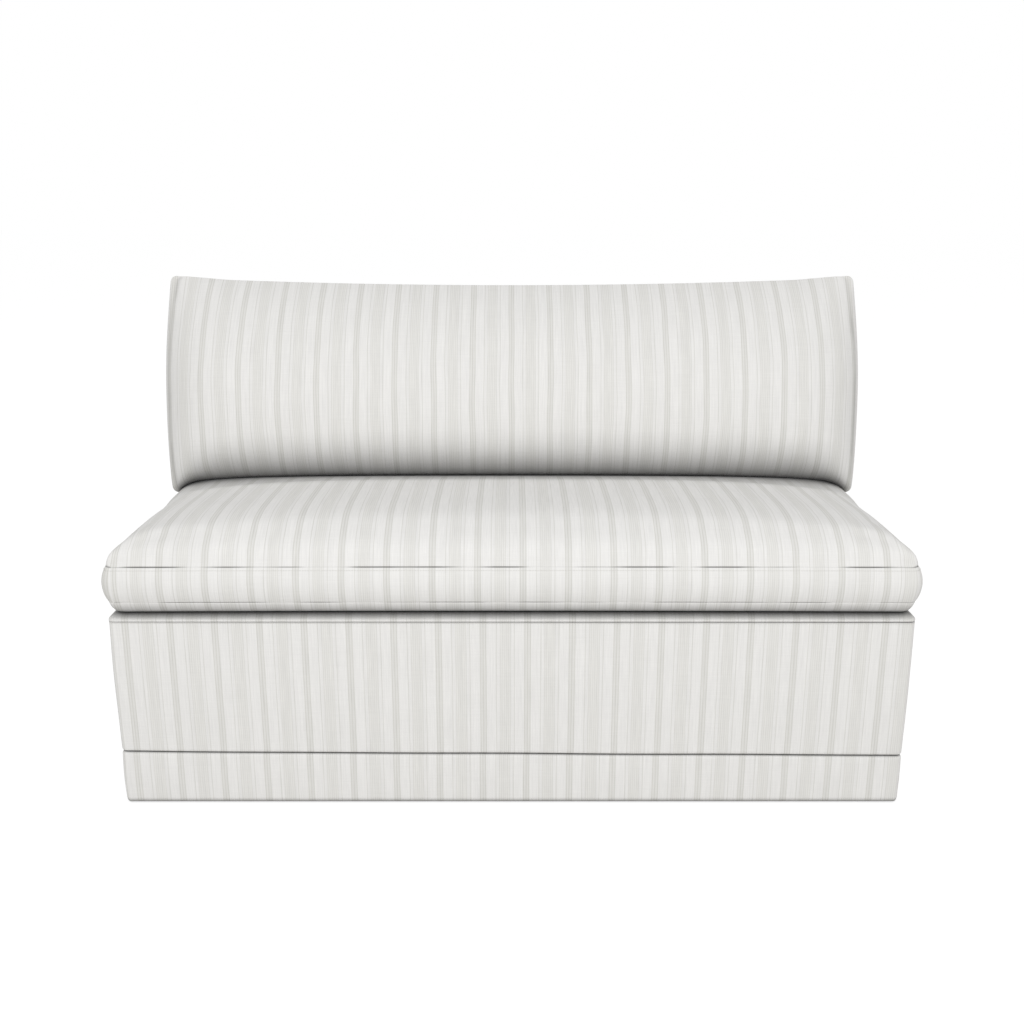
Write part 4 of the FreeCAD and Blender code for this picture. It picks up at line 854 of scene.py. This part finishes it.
def swell(fillings, frames=20):
    """Each filling is a piece, how firmly its points are held, their cap in metres and the pressure."""
    scene = bpy.context.scene
    for piece, held, cap, pressure in fillings:
        group = piece.vertex_groups.new(name="held")
        for weight in np.unique(np.round(held, 2)):
            if weight > 0:
                group.add(np.nonzero(np.round(held, 2) == weight)[0].tolist(), float(weight), "REPLACE")
        cloth = piece.modifiers.new("filling", "CLOTH")
        linen_feel = cloth.settings
        linen_feel.quality = 5
        linen_feel.mass = 0.3
        linen_feel.tension_stiffness = linen_feel.compression_stiffness = 12
        linen_feel.shear_stiffness = 6
        linen_feel.bending_stiffness = 1.5
        linen_feel.use_pressure = True
        linen_feel.uniform_pressure_force = pressure
        linen_feel.vertex_group_mass = "held"
        linen_feel.effector_weights.gravity = 0
        cloth.point_cache.frame_start, cloth.point_cache.frame_end = 1, frames
    scene.frame_start, scene.frame_end = 1, frames
    for number in range(1, frames + 1):
        scene.frame_set(number)
    graph = bpy.context.evaluated_depsgraph_get()
    for piece, held, cap, pressure in fillings:
        start = points_of(piece)
        move = points_of(piece.evaluated_get(graph)) - start
        reach = np.linalg.norm(move, axis=1)
        move *= (np.minimum(reach, cap) / np.maximum(reach, 1e-9))[:, None]
        piece.modifiers.clear()
        piece.vertex_groups.clear()
        piece.data.vertices.foreach_set("co", (start + move).ravel())
        piece.data.update()
    scene.frame_set(1)


swell([(seat, seat_held, 0.005, 4.0), (pillow, pillow_held, 0.012, 9.0)])

# The foot of the back cushion gives way to the crown of the seat cushion that it stands on.
seat_shell = BVHTree.FromPolygons(points_of(seat).tolist(), [list(p.vertices) for p in seat.data.polygons])
settled = points_of(pillow)
for k, (x, y, z) in enumerate(settled):
    rest = seat_shell.ray_cast(Vector((x, y, BACK_TOP)), Vector((0, 0, -1)))[0]
    if rest and z < rest.z + REST_GAP:
        settled[k, 2] = rest.z + REST_GAP
pillow.data.vertices.foreach_set("co", settled.ravel())
pillow.data.update()


def sew(piece, seams, depth, floor, shades, painted_shade):
    """Draws a seam into a filled cover: a narrow groove whose depth and painted shade wander along it; painted_shade
    is the painted shade of each point off the seams.
    """
    mesh = piece.data
    points = points_of(piece)
    normals = np.zeros(len(mesh.vertices) * 3)
    mesh.vertices.foreach_get("normal", normals)
    normals = normals.reshape(-1, 3)
    dark = np.zeros(len(points)) + painted_shade
    for k, seam in enumerate(seams):
        line = points[seam]
        steps = np.linalg.norm(np.diff(line, axis=0), axis=1)
        lap = np.concatenate([[0], np.cumsum(steps)])
        pull = np.clip(0.55 + 1.4 * waver(lap, 0.3 + 0.2 * k, 0.055), floor, 1)
        points[seam] = line - normals[seam] * depth * pull[:, None]
        dark[seam] = shades[k] * pull
    mesh.attributes.new("seam_shade", "FLOAT", "POINT").data.foreach_set("value", dark)
    mesh.vertices.foreach_set("co", points.ravel())
    crease = mesh.attributes.new("crease_edge", "FLOAT", "EDGE")
    seam_sets = [set(seam) for seam in seams]
    for edge in mesh.edges:
        a, b = edge.vertices
        if any(a in s and b in s for s in seam_sets):
            crease.data[edge.index].value = 0.9
    mesh.update()
    smooth = piece.modifiers.new("smooth", "SUBSURF")
    smooth.levels = smooth.render_levels = 1


seat_line = points_of(seat)[seat_stitched + seat_stitched[:1]]
# Painted shade along the seams: the seat's upper seam darkest, its lower seam about half as dark, the back cushion's
# side seams a quarter.
sew(seat, seat_seams, 0.0024, 0.10, (1.0, 0.55), seat_painted_shade)
sew(pillow, pillow_seams, 0.0016, 0.5, [0.25] * len(pillow_seams), 0)
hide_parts("seat_cushion_cover", "seat_cushion_wrap", "seat_cushion_core")
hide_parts("back_cushion_cover", "back_cushion_fill")
for piece, body, fill in ((seat, "seat_cushion", 0.85), (pillow, "back_cushion", 0.75)):
    upholstered(piece, body)


# ------------------------------------------------------------------------- topstitching
# Bonded thread in the cover's own off-white: one row under the seat cushion's upper seam,
# one along the top of the base box, and slip stitches down both edges of the outside back.
thread = patterned(
    "bonded_thread", "ShaderNodeTexNoise", {"Scale": 1500.0, "Detail": 1.0},
    [(0.3, "#d2d0cb"), (0.7, "#e2e0dc")], Roughness=0.7, Sheen_Weight=0.1,
)
TOPSTITCH, SLIP_STITCH = (0.0046, 0.0034, 0.0007), (0.011, 0.0050, 0.0009)
plan, facing, _ = front_plan
box_line = np.column_stack([plan - facing * 0.0010, np.full(len(plan), BASE_TOP - 0.0022)])
box_line[:, 2] += seam_drift(plan[:, 0], BASE_TOP)
stitch_x, stitch_y = BASE_HALF - 0.0095, BASE_REAR - 0.0004
stitch_rise = np.linspace(PLINTH_TOP + 0.02, BACK_TOP - 0.02, 40)
back_lines = [[(hand * stitch_x, stitch_y, z) for z in stitch_rise] for hand in (-1, 1)]
strung("seat_topstitching", [seat_line], *TOPSTITCH, thread, "seat_cushion", "striped_linen")
strung("base_topstitching", [box_line], *TOPSTITCH, thread, "frame", "striped_linen")
strung("back_slip_stitches", back_lines, *SLIP_STITCH, thread, "frame", "striped_linen")


# ------------------------------------------------------------------------------- zips
# A nylon coil zip in the rear boxing of the seat cushion and one low on the back of the back
# cushion, on woven cotton tapes, each with a nickel slider.
ZIP_HALF, TAPE_HALF = 0.450, 0.011
SEAT_ZIP_Y, SEAT_ZIP_Z = 0.1890, 0.4164
BACK_ZIP_UP, BACK_ZIP_OUT = -0.2683, -0.0732
tape = patterned(
    "cotton_zip_tape", "ShaderNodeTexWave", {"Scale": 260.0, "Distortion": 0.5},
    [(0.2, "#cfcdc6"), (0.8, "#dedcd6")], relief=(0.3, 0.0003), Roughness=0.9,
)
coil = patterned(
    "nylon_coil", "ShaderNodeTexNoise", {"Scale": 700.0, "Detail": 2.0},
    [(0.3, "#c4c2ba"), (0.7, "#d8d6cf")], Roughness=0.4, IOR=1.53,
)

tape_across = np.array([-1, -0.97, -0.8, -0.5, -0.2, -0.12, 0.12, 0.2, 0.5, 0.8, 0.97, 1]) * TAPE_HALF
tape_rise = np.array([0, 0.3, 0.5, 0.6, 0.8, 0.4, 0.4, 0.8, 0.6, 0.5, 0.3, 0]) * 0.001
tape_x, tape_up = np.meshgrid(np.linspace(-ZIP_HALF, ZIP_HALF, 60), tape_across)
tape_out = np.repeat(tape_rise[:, None], 60, 1)


def on_seat(x, up, out):
    return np.stack([x, SEAT_ZIP_Y + out, SEAT_ZIP_Z + up], -1)


def on_pillow(x, up, out):
    return stood(x, BACK_ZIP_UP + up, BACK_ZIP_OUT - out).reshape(x.shape + (3,))


coil_x = np.linspace(-ZIP_HALF + 0.004, ZIP_HALF - 0.004, 40)
for word, body, placed in (("seat", "seat_cushion", on_seat), ("back", "back_cushion", on_pillow)):
    strip = padded_panel(
        f"{word}_zip_tape", placed(tape_x, tape_up, tape_out), placed(tape_x, tape_up, np.full_like(tape_x, -0.0012)),
        tape_x, tape_up, tape,
    )
    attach(strip, body)
    line = placed(coil_x, np.zeros_like(coil_x), np.full_like(coil_x, 0.0006))
    chain = strung(f"{word}_zip_coil", [line], 0.0019, 0.0012, 0.0034, coil, body, "zip_tape")
    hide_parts(f"{word}_zip")
    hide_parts(f"{word}_zip")
dress(drawn_metal("nickel_slider", "#b9b5ac", "#d6d3cb", 0.3, 500.0), "seat_zip_slider", "back_zip_slider")


# --------------------------------------------------------------------- studio and camera
# A white sweep under soft frontal light, seen from the front and a little above.
scene = bpy.context.scene
scene.view_settings.view_transform = "Standard"
floor_mesh = bpy.data.meshes.new("studio_floor")
floor_mesh.from_pydata([(-30, -30, 0), (30, -30, 0), (30, 30, 0), (-30, 30, 0)], [], [(0, 1, 2, 3)])
floor = bpy.data.objects.new("studio_floor", floor_mesh)
scene.collection.objects.link(floor)
paper, tree, shader = finish_named("white_paper", Roughness=1.0)
shader.inputs["Specular IOR Level"].default_value = 0.0
seen = add(tree, "ShaderNodeLightPath").outputs
shown = add(tree, "ShaderNodeMath", {0: seen["Is Camera Ray"], 1: seen["Is Glossy Ray"]}, operation="ADD")
tone = add(tree, "ShaderNodeValToRGB", {0: shown.outputs[0]}, stops=[(0.0, "#c9c8c6"), (1.0, "#cacaca")])
tree.links.new(tone.outputs[0], shader.inputs["Base Color"])
lift = add(tree, "ShaderNodeMath", {0: shown.outputs[0], 1: 0.62}, operation="MULTIPLY")
shader.inputs["Emission Color"].default_value = (1, 1, 1, 1)
tree.links.new(lift.outputs[0], shader.inputs["Emission Strength"])
floor_mesh.materials.append(paper)

world = bpy.data.worlds.new("studio")
scene.world = world
world.use_nodes = True
tree = world.node_tree
backdrop = tree.nodes["Background"]
backdrop.inputs[0].default_value = (1, 1, 1, 1)
seen = add(tree, "ShaderNodeLightPath").outputs
shown = add(tree, "ShaderNodeMath", {0: seen["Is Camera Ray"], 1: seen["Is Glossy Ray"]}, operation="ADD")
shown = add(tree, "ShaderNodeMath", {0: shown.outputs[0], 1: seen["Is Transmission Ray"]}, operation="MAXIMUM")
level = add(tree, "ShaderNodeMapRange", {0: shown.outputs[0], 3: 0.64, 4: 1.0})
tree.links.new(level.outputs[0], backdrop.inputs[1])


def soft_light(name, place, aim, size, power):
    lamp = bpy.data.lights.new(name, "AREA")
    lamp.shape = "RECTANGLE"
    lamp.size, lamp.size_y = size
    lamp.energy = power
    light = bpy.data.objects.new(name, lamp)
    scene.collection.objects.link(light)
    light.location = place
    direction = np.array(aim) - np.array(place)
    light.rotation_euler = Vector(direction).to_track_quat("-Z", "Y").to_euler()


soft_light("front_softbox", (0, -4.2, 2.25), (0, 0, 0.45), (3.4, 2.4), 98)

lens = bpy.data.cameras.new("front_camera")
lens.lens, lens.sensor_width = 39.48, 36.0
camera = bpy.data.objects.new("front_camera", lens)
camera.location = (0, -2.12605, 1.0488)
camera.rotation_euler = (math.radians(90 - 15.8), 0, 0)
scene.collection.objects.link(camera)
scene.camera = camera
